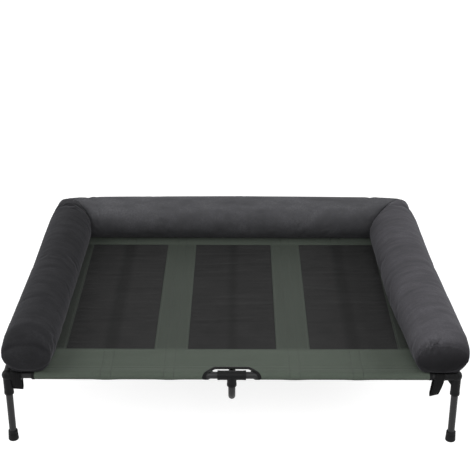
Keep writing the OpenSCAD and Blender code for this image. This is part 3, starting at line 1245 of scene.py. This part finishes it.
    def rows(self) -> list[Row]:
        """Lists the rows of stitches round the windows and along the hems.

        Returns:
            The rows, by their two ends.
        """
        half_w, half_d = self.half_window
        rows: list[Row] = []
        y1 = half_d + self.seam_inset
        for panel in Panel:
            x0 = panel.value * self.pitch - half_w - self.seam_inset
            x1 = panel.value * self.pitch + half_w + self.seam_inset
            rows += [((x, -y1), (x, y1)) for x in (x0, x1)] + [((x0, y), (x1, y)) for y in (-y1, y1)]
        for inset, start in zip(self.hem_insets, self.hem_starts):
            y, x = self.half_depth - inset, self.half_length - inset
            clear_x, clear_y = (
                half - self.corner_cut - self.hem_clear + inset * self.hem_lean
                for half in (self.half_length, self.half_depth)
            )
            for side in (-1, 1):
                rows += [((side * start, hem), (side * clear_x, hem)) for hem in (y, -y)]
                rows.append(((side * x, -clear_y), (side * x, clear_y)))
        return rows

    def webbing_rows(self) -> list[Row]:
        """Lists the rows of stitches that hold the webbing under the cloth.

        Returns:
            The rows, by their two ends.
        """
        clear, end = self.half_window[1] + self.webbing_clear, self.half_depth + self.turn() / 4
        rows: list[Row] = []
        for band in Band:
            for edge in (-self.webbing_edge, self.webbing_edge):
                x = band.value * self.pitch + edge
                if band in (Band.NEAR_LEFT, Band.NEAR_RIGHT):
                    rows.append(((x, -end), (x, end)))
                else:
                    rows += [((x, -end), (x, -clear)), ((x, clear), (x, end))]
        return rows

    def seams(self, name: str, rows: Sequence[Row], half: float, finish: Finish) -> bpy.types.Object:
        """Sews rows of single stitches.

        Args:
            name: Name of the piece.
            rows: The rows, by their two ends.
            half: Half the thread's width.
            finish: The thread.

        Returns:
            The stitches.
        """
        bm = bmesh.new()
        for a, b in rows:
            row = self.sewn_row(Vector((*a, 0)), Vector((*b, 0)), half)
            bm.from_mesh(row)
            bpy.data.meshes.remove(row)
        for v in bm.verts:
            x, y, z = v.co
            past = max(0.0, abs(y) - self.half_depth)
            angle = 2 * math.pi * past / self.turn()
            r = self.turn_r + self.cloth / 2 + z - self.groove * max(0.0, 1 - past / self.groove_end)
            y = math.copysign(min(abs(y), self.half_depth) + r * math.sin(angle), y)
            v.co = (x, y, self.rail_height + r * math.cos(angle) + self.height(x, y))
        return make_piece(name, bm, finish)

    def sewn_row(self, start: Vector, end: Vector, half: float) -> bpy.types.Mesh:
        """Sews one straight row, its first stitch repeated by a spin of no angle.

        Args:
            start: First end of the row.
            end: Its other end.
            half: Half the thread's width.

        Returns:
            The row, for the caller to remove.
        """
        run, pitch = end - start, self.stitch_pitch
        turn = Matrix.Rotation(math.atan2(run.y, run.x), 4, "Z")
        form = Matrix.Diagonal((self.stitch / 2, half, self.thread_rise, 1))
        place = Matrix.Translation(start + run.normalized() * pitch / 2)
        bm = bmesh.new()
        bmesh.ops.create_uvsphere(bm, u_segments=6, v_segments=4, radius=1.0, matrix=place @ turn @ form)
        bmesh.ops.spin(
            bm,
            geom=[*bm.verts, *bm.edges, *bm.faces],
            cent=(0, 0, 0),
            axis=(0, 0, 1),
            angle=0.0,
            dvec=run.normalized() * pitch,
            steps=int(run.length / pitch) - 1,
            use_duplicate=True,
            use_merge=False,
        )
        return to_mesh("stitches", bm)


@dataclass
class Webbing(Fitted):
    """Flat webbing bands that carry the sling from underneath."""

    step: float = 0.03
    half_run: float = 0.4337
    width: float = 0.030
    thickness: float = 0.0014
    level: float = 0.2141
    finish: Finish = Tape("under_webbing", linear(30, 30, 31), 0.75, rib=0.0017, cord=0.0046)

    def build(self) -> None:
        """Builds the four bands."""
        for band in Band:
            x = band.value * self.pitch
            ys = graded([-self.half_run, self.half_run], self.step)
            path = [Vector((x, y, self.level + self.height(x, y))) for y in ys]
            bm = ribbon(path, [Vector((self.width / 2, 0, 0))] * len(path))
            name = f"webbing_{band.label}"
            piece = make_piece(f"{name}_band", bm, self.finish, [name])
            thicken(piece, self.thickness)


@dataclass(frozen=True)
class Hang:
    """How one strap hangs: its drop, its slide out along the rail, its lean across and its twist."""

    drop: float
    slide: float
    lean: float
    twist: float


@dataclass
class BolsterStraps(Fitted):
    """Webbing loops, sewn under the side rolls, that hang round the long rails beside each corner."""

    start: float = 0.0395
    width: float = 0.025
    thickness: float = 0.0015
    loop_r: float = 0.0145
    curl_r: float = 0.0085
    tongue: float = 0.020
    seat_z: float = 0.2175
    finish: Finish = Tape("strap_webbing", linear(12, 12, 13), 0.75, rib=0.0018, cord=0.005)
    hangs: dict[Corner, Hang] = field(
        default_factory=lambda: {
            Corner.FRONT_LEFT: Hang(0.043, 0.027, 0.002, -0.1),
            Corner.FRONT_RIGHT: Hang(0.060, 0.006, -0.011, 0.4),
            Corner.BACK_LEFT: Hang(0.056, 0.0, 0.006, 0.3),
            Corner.BACK_RIGHT: Hang(0.052, 0.004, -0.005, -0.35),
        }
    )

    def build(self) -> None:
        """Builds the four loops."""
        for corner in Corner:
            self.strap(corner, self.hangs[corner])

    def section(self, hang: Hang) -> list[Plan]:
        """Middle line of a strap as across, towards the cot's middle, and up from the rail's axis.

        Args:
            hang: How it hangs.

        Returns:
            The line's points, from the sewn tongue down round the rail and up in front of it.
        """
        r, curl, top = self.loop_r, self.curl_r, self.seat_z - self.rail_height
        low = curl + self.thickness / 2 - hang.drop
        start = top - 0.006
        down = [(r + (curl - r) * t * t, start + (low - start) * t) for t in (k / 9 for k in range(10))]
        angles = [math.radians(15 * k) for k in range(1, 12)]
        under = [(curl * math.cos(a), low - curl * math.sin(a)) for a in angles]
        tongue = [(r + self.tongue * t, top) for t in (1.0, 0.7, 0.4, 0.2)]
        bend = [(r + 0.0013, top - 0.0009), (r + 0.0004, top - 0.003)]
        tuck = [(-r + 0.0004, top - 0.003), (-r + 0.002, top - 0.0006), (-r + 0.0048, top + 0.0004)]
        return tongue + bend + down + under + [(-x, z) for x, z in reversed(down)] + tuck

    def strap(self, corner: Corner, hang: Hang) -> None:
        """Builds one loop.

        Args:
            corner: Where it is.
            hang: How it hangs.
        """
        sx, sy = corner.value
        middle = sx * (self.half_length - self.start - self.width / 2 + hang.slide)
        path, across = [], []
        for inward, up in self.section(hang):
            share = unit(-up / hang.drop)
            x = middle + hang.lean * share**1.3
            turn = hang.twist * share
            path.append(Vector((x, sy * (self.half_depth - inward), self.rail_height + up)))
            across.append(Vector((math.cos(turn), math.sin(turn), 0)) * self.width / 2)
        bm = ribbon(path, across)
        name = f"bolster_strap_{corner.label}"
        piece = make_piece(f"{name}_loop", bm, self.finish, [name])
        thicken(piece, self.thickness)


@dataclass(frozen=True)
class Ring:
    """A ring that a roll is drawn over: its place, half its width and height, its lift, lean and tilt."""

    y: float
    wide: float
    tall: float
    lift: float = 0.0
    lean: float = 0.0
    tilt: float = 0.0

    def place(self) -> Matrix:
        """Gives the matrix that takes a ring of radius one to this ring.

        Returns:
            The matrix.
        """
        shear = Matrix.Identity(4)
        shear[1][0], shear[1][2] = -self.lean, -self.tilt
        size = Matrix.Diagonal((self.wide, 1, self.tall, 1))
        return Matrix.Translation((0, self.y, self.lift)) @ shear @ size


@dataclass(frozen=True)
class Tuck:
    """A pinch in the cover: where it is, how wide and how deep, and the folds that run off it."""

    place: tuple[float, float, float]
    width: float
    depth: float
    folds: int = 4
    fold_share: float = 0.45
    fold_at: float = 1.9
    fold_spread: float = 1.3

    def near(self, co: Vector) -> bool:
        """Whether a point is close enough to the pinch to be moved much by it."""
        return (co - Vector(self.place)).length < 4 * self.width

    def push(self, co: Vector) -> float:
        """How far the pinch moves a point of the cover outwards.

        Args:
            co: The point.

        Returns:
            The way in metres, below zero in the pinch and to both sides of zero in the folds round it.
        """
        off = co - Vector(self.place)
        far = off.length / self.width
        if far > 5:
            return 0.0
        round_it = math.atan2(off.y + 0.6 * off.z, off.x)
        ring = math.exp(-((far - self.fold_at) ** 2) / self.fold_spread)
        folds = self.fold_share * math.cos(self.folds * round_it + 0.7) * ring
        return self.depth * (folds - bell(far))


@dataclass
class Roll:
    """One stuffed roll, drawn along its own Y from front to back, its inner side towards its own +X."""

    name: str
    radius: float
    start: float
    end: float
    mitred_start: bool
    seed: int
    fuller: float = 0.0
    inner: float = 0.0
    plump: float = 0.005
    bow: float = 0.0
    bow_power: float = 2.0
    tucks: Sequence[Tuck] = ()
    axis_rise: float = 0.058
    seam_r: float = 0.0625
    end_len: float = 0.062
    end_round: Plan = (0.004, 0.027)
    panel_lift: float = -0.011
    panel_crown: float = 0.012
    panel_tilt: float = 0.12
    panel_span: float = 0.05
    corner_round: float = 0.014
    corner_reach: float = 0.12
    corner_blend: float = 0.060
    inner_from_seam: float = 0.05
    inner_front: float = 0.95
    inner_fade: float = 0.5
    shrink: float = 0.0015
    ring_step: float = 0.05
    segments: int = 64
    held_rest: float = 0.003
    held_seam: float = 0.0035

    def rings(self) -> list[Ring]:
        """Lists the rings that the roll is drawn over.

        Returns:
            The rings, from start to end.
        """
        r = self.radius - self.shrink
        steps = (0.0, 0.2, 0.4, 0.6, 0.8, 0.92, 1.0)
        reach = r + self.corner_blend
        seams = [r + (self.seam_r - r) * t**3 for t in steps]
        back = [Ring(self.end - reach * (1 - t), w, w, lean=t) for t, w in zip(steps, seams)]
        if self.mitred_start:
            front = [Ring(self.start + reach * (1 - t), w, w, lean=-t) for t, w in zip(steps, seams)][::-1]
        else:
            front = self.end_rings(r)
        body = graded([front[-1].y, back[0].y], self.ring_step)[1:-1]
        return front + [Ring(y, r, r) for y in body] + back

    def panel(self) -> Plan:
        """Half the width and half the height of the panel that closes a free end."""
        r = self.radius - self.shrink
        return r - self.end_round[0], r - self.end_round[1]

    def end_rings(self, r: float) -> list[Ring]:
        """Rings of a free end: a crowned end panel, and a shoulder that rounds out to the roll.

        Args:
            r: The roll's radius.

        Returns:
            The rings, from the panel's middle outwards.
        """
        (pw, ph), lift, tilt = self.panel(), self.panel_lift, self.panel_tilt
        rings = []
        for q in (0.12, 0.34, 0.56, 0.76, 0.9, 1.0):
            rings.append(Ring(self.start + self.panel_crown * q * q, pw * q, ph * q, lift, tilt=tilt))
        shoulder = self.end_len - self.panel_crown
        for a in (10, 22, 34, 46, 58, 70, 80, 90):
            s, c = math.sin(math.radians(a)), math.cos(math.radians(a))
            y = self.start + self.panel_crown + shoulder * (1 - c)
            wide, tall = (size + (r - size) * s**0.8 for size in (pw, ph))
            rings.append(Ring(y, wide, tall, lift * (1 - s), tilt=tilt * (1 - s)))
        return rings

    def base(self) -> BMesh:
        """Draws the roll: a ring that is extruded from place to place, leaning into its corner seams.

        Returns:
            The closed roll on its own axis.
        """
        bm = bmesh.new()
        bmesh.ops.create_circle(bm, segments=self.segments, radius=1.0)
        upright = Matrix.Rotation(math.pi / 2, 3, "X")
        bmesh.ops.rotate(bm, verts=bm.verts, cent=(0, 0, 0), matrix=upright)
        first = edges = list(bm.edges)
        last = Matrix.Identity(4)
        for k, ring in enumerate(self.rings()):
            if k:
                made = bmesh.ops.extrude_edge_only(bm, edges=edges)["geom"]
                edges = [e for e in made if isinstance(e, bmesh.types.BMEdge) and len(e.link_faces) == 1]
            verts = list({v for e in edges for v in e.verts})
            bmesh.ops.transform(bm, verts=verts, matrix=ring.place() @ last.inverted())
            last = ring.place()
        bmesh.ops.edgeloop_fill(bm, edges=first)
        bmesh.ops.edgeloop_fill(bm, edges=edges)
        bmesh.ops.recalc_face_normals(bm, faces=bm.faces)
        for v in bm.verts:
            v.co = self.settled(v.co)
        return bm

    def ahead(self, y: float) -> float:
        """How far a place lies in front of the corner's bend, as a share of the way to the free end."""
        bend = self.end - self.radius - self.corner_blend
        return max(0.0, bend - y) / (bend - self.start)

    def swell(self, x: float, y: float) -> float:
        """How far the inner side stands out: fully behind the middle, not at the seam nor at the front.

        Args:
            x: A place across the roll.
            y: A place along it.

        Returns:
            The way in metres.
        """
        off_seam = eased((self.end - x - y) / self.inner_from_seam)
        return self.inner * off_seam * eased((self.inner_front - self.ahead(y)) / self.inner_fade)

    def grown(self, y: float) -> float:
        """How many times its size the roll has at a place."""
        return 1 + self.fuller * self.ahead(y) / self.radius

    def bowed(self, y: float) -> float:
        """How far the roll bows outwards at a place."""
        return self.bow * self.ahead(y) ** self.bow_power

    def settled(self, co: Vector) -> Vector:
        """Rounds the roll's outer corners, swells and bows its front, and flattens it where it rests.

        Args:
            co: A point of the roll on its own axis.

        Returns:
            Where the point lies.
        """
        x, y, z = co
        near = max(0.0, 1 - abs(self.end - y) / self.corner_reach)
        if self.mitred_start:
            near = max(near, 1 - abs(y - self.start) / self.corner_reach)
        if x < 0:
            x += self.corner_round * near**2 * min(1.0, -x / self.radius)
        else:
            x += self.swell(x, y) * x / self.radius
        x, z = x * self.grown(y) - self.bowed(y), z * self.grown(y)
        if z > 0:
            z *= 1 + self.plump / self.seam_r * (1.0 if self.mitred_start else 1 - self.ahead(y))
        return Vector((x, y, max(z, -self.axis_rise)))

    def from_seams(self, co: Vector) -> list[float]:
        """How far a point lies from each of the roll's end seams.

        Args:
            co: A point of the roll.

        Returns:
            The distances in metres, first from the back seam and then from the front one.
        """
        back = self.end - co.x - co.y
        if self.mitred_start:
            return [back, co.y - co.x - self.start]
        if co.y > self.start + self.end_len:
            return [back, 1.0]
        x = (co.x + self.bowed(co.y)) / self.grown(co.y)
        z = co.z / self.grown(co.y) - self.panel_lift
        wide, tall = self.panel()
        return [back, (math.hypot(x / wide, z / tall) - 1) * self.panel_span]

    def sewn(self, co: Vector) -> bool:
        """Whether a point is held while the roll is stuffed.

        Args:
            co: A point of the roll.

        Returns:
            True where it is sewn or rests.
        """
        resting = co.z < -self.axis_rise + self.held_rest
        return resting or min(abs(off) for off in self.from_seams(co)) < self.held_seam


@dataclass
class Bolster:
    """Three stuffed rolls round the back and sides, sewn together in slanting seams at the rear corners."""

    side_x: float = 0.528
    back_y: float = 0.408
    front_y: float = -0.475
    axis_z: float = 0.2763
    side_radius: float = 0.071
    back_radius: float = 0.067
    seam_gap: float = 0.0002
    voxel: float = 0.0055
    pressure: float = 4.0
    slack: float = 0.003
    cap: float = 0.007
    frames: int = 20
    seam_draw: float = 0.0028
    seam_w: float = 0.006
    fold_rise: float = 0.0014
    fold_reach: float = 0.018
    fold_start: float = 0.008
    fold_counts: Sequence[int] = (17, 23, 31)
    panel_edge: float = 0.004
    wrinkles: int = 12
    wrinkle_slant: float = 0.06
    # One plush in three copies: the left one is painted darker as painted shade, and the back and right ones
    # paler as painted light. The back and right rolls are also painted darker towards the bottom, and the
    # right roll's end panel is painted darker, both as painted shade.
    finishes: dict[str, Finish] = field(
        default_factory=lambda: {
            "left": Plush("plush_shaded_left", linear(45, 45, 47), 0.94, nap_turn=0.2),
            "back": Plush("plush_lit_back", linear(92, 92, 95), 0.94, nap_turn=1.4, low_shade_share=0.4),
            "right": Plush(
                "plush_lit_right", linear(83, 82, 86), 0.94, nap_turn=-0.2, panel_shade_keep=0.56, low_shade_share=0.72
            ),
        }
    )

    def build(self) -> None:
        """Builds, stuffs and dresses the three rolls."""
        run = {"start": self.front_y, "end": self.back_y - self.seam_gap, "mitred_start": False}
        left = Roll("left", self.side_radius, **run, seed=3, bow=0.011, corner_round=0.004)
        gathers = [
            Tuck((x, self.front_y + y, z), width, depth)
            for x, y, z, width, depth in (
                (-0.0025, 0.008, 0.034, 0.008, 0.007),
                (0.0135, 0.009, 0.0296, 0.005, 0.004),
                (0.027, 0.0095, 0.0231, 0.005, 0.0035),
                (0.0379, 0.0105, 0.0148, 0.005, 0.003),
            )
        ]
        look = {"fuller": 0.007, "inner": 0.022, "bow": 0.0235, "bow_power": 1.4, "tucks": gathers}
        right = Roll("right", self.side_radius, **run, seed=5, **look)
        half = self.side_x - self.seam_gap
        nip = Tuck((0.012, -0.498, 0.056), 0.006, 0.004)
        back = Roll("back", self.back_radius, -half, half, mitred_start=True, seed=7, tucks=[nip])
        flip = Matrix.Diagonal((-1, 1, 1, 1))
        turn = Matrix.Rotation(-math.pi / 2, 4, "Z")
        self.roll(left, Matrix.Translation((-self.side_x, 0, self.axis_z)))
        self.roll(right, Matrix.Translation((self.side_x, 0, self.axis_z)) @ flip)
        self.roll(back, Matrix.Translation((0, self.back_y, self.axis_z)) @ turn)

    def roll(self, roll: Roll, place: Matrix) -> None:
        """Makes one roll into a dressed piece.

        Args:
            roll: The roll.
            place: Where it goes.
        """
        bm = self.stuffed(roll)
        self.refine(bm, roll.tucks)
        bm.normal_update()
        self.gather(bm, roll)
        bmesh.ops.transform(bm, verts=bm.verts, matrix=place)
        bmesh.ops.recalc_face_normals(bm, faces=bm.faces)
        nodes = [f"bolster_cover_{roll.name}", f"bolster_fill_{roll.name}"]
        piece = make_piece(f"bolster_{roll.name}", bm, self.finishes[roll.name], nodes)
        smooth = piece.modifiers.new("smooth", "SUBSURF")
        smooth.levels = smooth.render_levels = 1

    def stuffed(self, roll: Roll) -> BMesh:
        """Remeshes a roll finely and blows it up against its seams.

        Args:
            roll: The roll.

        Returns:
            The stuffed roll on its own axis.
        """
        form = put("stuffing", to_mesh("stuffing", roll.base()))
        remesh = form.modifiers.new("remesh", "REMESH")
        remesh.mode = "VOXEL"
        remesh.voxel_size = self.voxel
        self.bake(form)
        self.blow(form, roll)
        bm = bmesh.new()
        bm.from_mesh(form.data)
        bpy.data.objects.remove(form)
        return bm

    def refine(self, bm: BMesh, tucks: Sequence[Tuck]) -> None:
        """Cuts the faces round the pinches finer, all of them once.

        Args:
            bm: The stuffed roll.
            tucks: Its pinches.
        """
        edges = [e for e in bm.edges if any(t.near((e.verts[0].co + e.verts[1].co) / 2) for t in tucks)]
        bmesh.ops.subdivide_edges(bm, edges=edges, cuts=2, use_grid_fill=True)

    def bake(self, form: bpy.types.Object) -> None:
        """Makes what an object's modifiers give into its mesh, and drops them.

        Args:
            form: The object.
        """
        bpy.context.view_layer.update()
        seen = form.evaluated_get(bpy.context.evaluated_depsgraph_get())
        mesh = bpy.data.meshes.new_from_object(seen)
        form.modifiers.clear()
        form.data = mesh

    def blow(self, form: bpy.types.Object, roll: Roll) -> None:
        """Blows a roll up as slack cloth that is held at its seams.

        Args:
            form: The remeshed roll.
            roll: The roll that it came from.
        """
        rest = [v.co.copy() for v in form.data.vertices]
        group = form.vertex_groups.new(name="sewn")
        group.add([i for i, co in enumerate(rest) if roll.sewn(co)], 1.0, "REPLACE")
        cloth = form.modifiers.new("cloth", "CLOTH").settings
        cloth.quality = 5
        cloth.mass = 0.25
        cloth.tension_stiffness = cloth.compression_stiffness = 15
        cloth.bending_stiffness = 2.0
        cloth.use_pressure = True
        cloth.uniform_pressure_force = self.pressure
        cloth.vertex_group_mass = group.name
        cloth.shrink_min = -self.slack
        cloth.effector_weights.gravity = 0.0
        for frame in range(1, self.frames + 1):
            bpy.context.scene.frame_set(frame)
        self.bake(form)
        for v, co in zip(form.data.vertices, rest):
            step = v.co - co
            if step.length > self.cap:
                v.co = co + step * (self.cap / step.length)
            v.co.z = max(v.co.z, -roll.axis_rise)
        bpy.context.scene.frame_set(1)

    def gather(self, bm: BMesh, roll: Roll) -> None:
        """Draws in the seams, with the gathers that run off them and a few soft wrinkles between.

        Args:
            bm: The stuffed roll on its own axis.
            roll: The roll that it came from.
        """
        dice = np.random.default_rng(roll.seed)
        phase = dice.uniform(0, 2 * math.pi, 3)
        ranges = [(roll.start + 0.1, roll.end - 0.1), (-0.4, 2.9), (-0.5, 0.5)]
        ranges += [(0.4, 0.8), (0.006, 0.011), (0.0004, 0.001)]
        wrinkles = [[dice.uniform(*ends) for ends in ranges] for _ in range(self.wrinkles)]
        # Marks the end panel, which the plush can darken as painted shade.
        panel = bm.verts.layers.float.new(END_PANEL)
        for v in bm.verts:
            x, y, z = v.co
            seams = roll.from_seams(v.co)
            v[panel] = unit(-seams[1] / self.panel_edge)
            angle = math.atan2(z, x)
            push = sum(tuck.push(v.co) for tuck in roll.tucks)
            fold = sum(math.sin(n * angle + p) for n, p in zip(self.fold_counts, phase)) / len(phase)
            for off in seams:
                push -= self.seam_draw * bell(off / self.seam_w)
                fade = math.exp(-abs(off) / self.fold_reach) * (1 - bell(off / self.fold_start))
                push += self.fold_rise * fold * fade
            for place, top, lean, arc, width, depth in wrinkles:
                turn = angle - top
                off = y - place - lean * self.wrinkle_slant * turn
                if abs(off) < 3 * width and abs(turn) < 2 * arc:
                    push -= depth * math.exp(-((off / width) ** 2) - (turn / arc) ** 2)
            v.co += v.normal * push
            v.co.z = max(v.co.z, -roll.axis_rise)


@dataclass
class SteelFrame:
    """Tubes, brackets and feet, which keep their solids and get their finishes."""

    rail: Finish = PowderCoat("rail_powder_coat", linear(23, 23, 24), 0.45)
    leg: Finish = PowderCoat("leg_powder_coat", linear(33, 33, 34), 0.46)
    bracket: Finish = MouldedPlastic("bracket_plastic", linear(15, 15, 16), 0.52)
    foot: Finish = MouldedPlastic("foot_plastic", linear(26, 26, 27), 0.62, grain=900.0, depth=0.0003)

    def dress(self, nodes: dict[str, bpy.types.Object]) -> None:
        """Gives each rigid solid its finish.

        Args:
            nodes: The frame's solids by name.
        """
        kinds = {
            "rail_": self.rail,
            "side_rail_": self.rail,
            "centre_brace": self.leg,
            "leg_": self.leg,
            "corner_bracket_": self.bracket,
            "tee_": self.bracket,
            "foot_": self.foot,
        }
        for name, node in nodes.items():
            for stem, finish in kinds.items():
                if name.startswith(stem):
                    if not node.data.materials:
                        node.data.materials.append(None)
                    for slot in node.material_slots:
                        slot.material = finish.material()
                    LOG.info("%s: %s", name, finish.name)


@dataclass(frozen=True)
class Lamp:
    """A soft square lamp: where it hangs, its side and its power in watts."""

    place: tuple[float, float, float]
    size: float
    power: float


@dataclass
class Studio:
    """Camera, soft lamps and a pale floor."""

    eye: Sequence[float] = (0.0202, -2.9697, 1.8058)
    pitch: float = 25.236
    yaw: float = 0.263
    focal_px: float = 1119.48
    frame_px: float = 470.0
    sensor: float = 36.0
    aim: Sequence[float] = (0.0, 0.0, 0.2)
    surround: float = 0.17
    floor_half: float = 15.0
    floor_grey: Colour = (0.5, 0.5, 0.5, 1.0)
    floor_glow: float = 0.84
    floor_fade: Plan = (1.2, 4.0)
    lamps: dict[str, Lamp] = field(
        default_factory=lambda: {
            "key": Lamp((0.2, -1.5, 1.3), 1.2, 15.5),
            "high_left": Lamp((-1.7, -0.9, 2.3), 0.9, 13.5),
            "left": Lamp((-2.2, 0.0, 1.95), 0.8, 6.0),
            "low_left": Lamp((-2.4, -0.5, 0.9), 1.2, 17.0),
            "right": Lamp((2.4, 0.3, 1.8), 1.2, 28.0),
            "low_right": Lamp((2.4, -0.5, 0.9), 1.2, 3.6),
            "back": Lamp((0.0, 2.5, 1.9), 1.6, 10.0),
        }
    )

    def build(self) -> None:
        """Sets up the camera, the light and the floor."""
        scene = bpy.context.scene
        scene.view_settings.view_transform = "Standard"
        self.camera(scene)
        for name, lamp in self.lamps.items():
            self.hang(name, lamp)
        self.world(scene)
        self.floor()

    def camera(self, scene: bpy.types.Scene) -> None:
        """Puts the camera where the picture was taken from.

        Args:
            scene: The scene that it is for.
        """
        data = bpy.data.cameras.new("camera")
        data.sensor_width = self.sensor
        data.lens = self.sensor * self.focal_px / self.frame_px
        camera = put("camera", data)
        camera.location = self.eye
        camera.rotation_euler = (math.radians(90 - self.pitch), 0, math.radians(self.yaw))
        scene.camera = camera

    def hang(self, name: str, lamp: Lamp) -> None:
        """Hangs a lamp that shines at the cot.

        Args:
            name: Name of the lamp.
            lamp: The lamp.
        """
        data = bpy.data.lights.new(name, "AREA")
        data.size = lamp.size
        data.energy = lamp.power
        hung = put(name, data)
        hung.location = lamp.place
        hung.rotation_euler = (Vector(self.aim) - Vector(lamp.place)).to_track_quat("-Z", "Y").to_euler()

    def world(self, scene: bpy.types.Scene) -> None:
        """Surrounds the cot with even light.

        Args:
            scene: The scene that it is for.
        """
        world = bpy.data.worlds.new("surround")
        g = WorldGraph(world)
        g.set(Color=WHITE, Strength=g.spread(g.seen(), 0.0, 1.0, (self.surround, 1.0)))
        scene.world = world

    def floor(self) -> None:
        """Lays a pale floor that keeps the cot's shadow and shows white to the camera and to reflections."""
        g = Graph("pale_floor")
        g.set(Base_Color=self.floor_grey, Roughness=0.9)
        far = g.add("ShaderNodeVectorMath", operation="LENGTH")
        g.feed(far.inputs[0], g.coords(Coords.OBJECT))
        glow = g.spread(far.outputs["Value"], *self.floor_fade, (self.floor_glow, 1.0))
        g.set(Emission_Color=WHITE, Emission_Strength=g.sum("MULTIPLY", g.seen(), glow))
        bm = bmesh.new()
        bmesh.ops.create_grid(bm, x_segments=1, y_segments=1, size=self.floor_half)
        floor = put("floor", to_mesh("floor", bm))
        floor.data.materials.append(g.material)


def main() -> None:
    """Loads the solids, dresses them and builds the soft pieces."""
    logging.basicConfig(level=logging.INFO, format="%(name)s: %(message)s")
    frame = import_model()
    Studio().build()
    SteelFrame().dress(frame["nodes"])
    for part in (Sling(), Webbing(), BolsterStraps(), Bolster()):
        part.build()


if __name__ == "__main__":
    main()
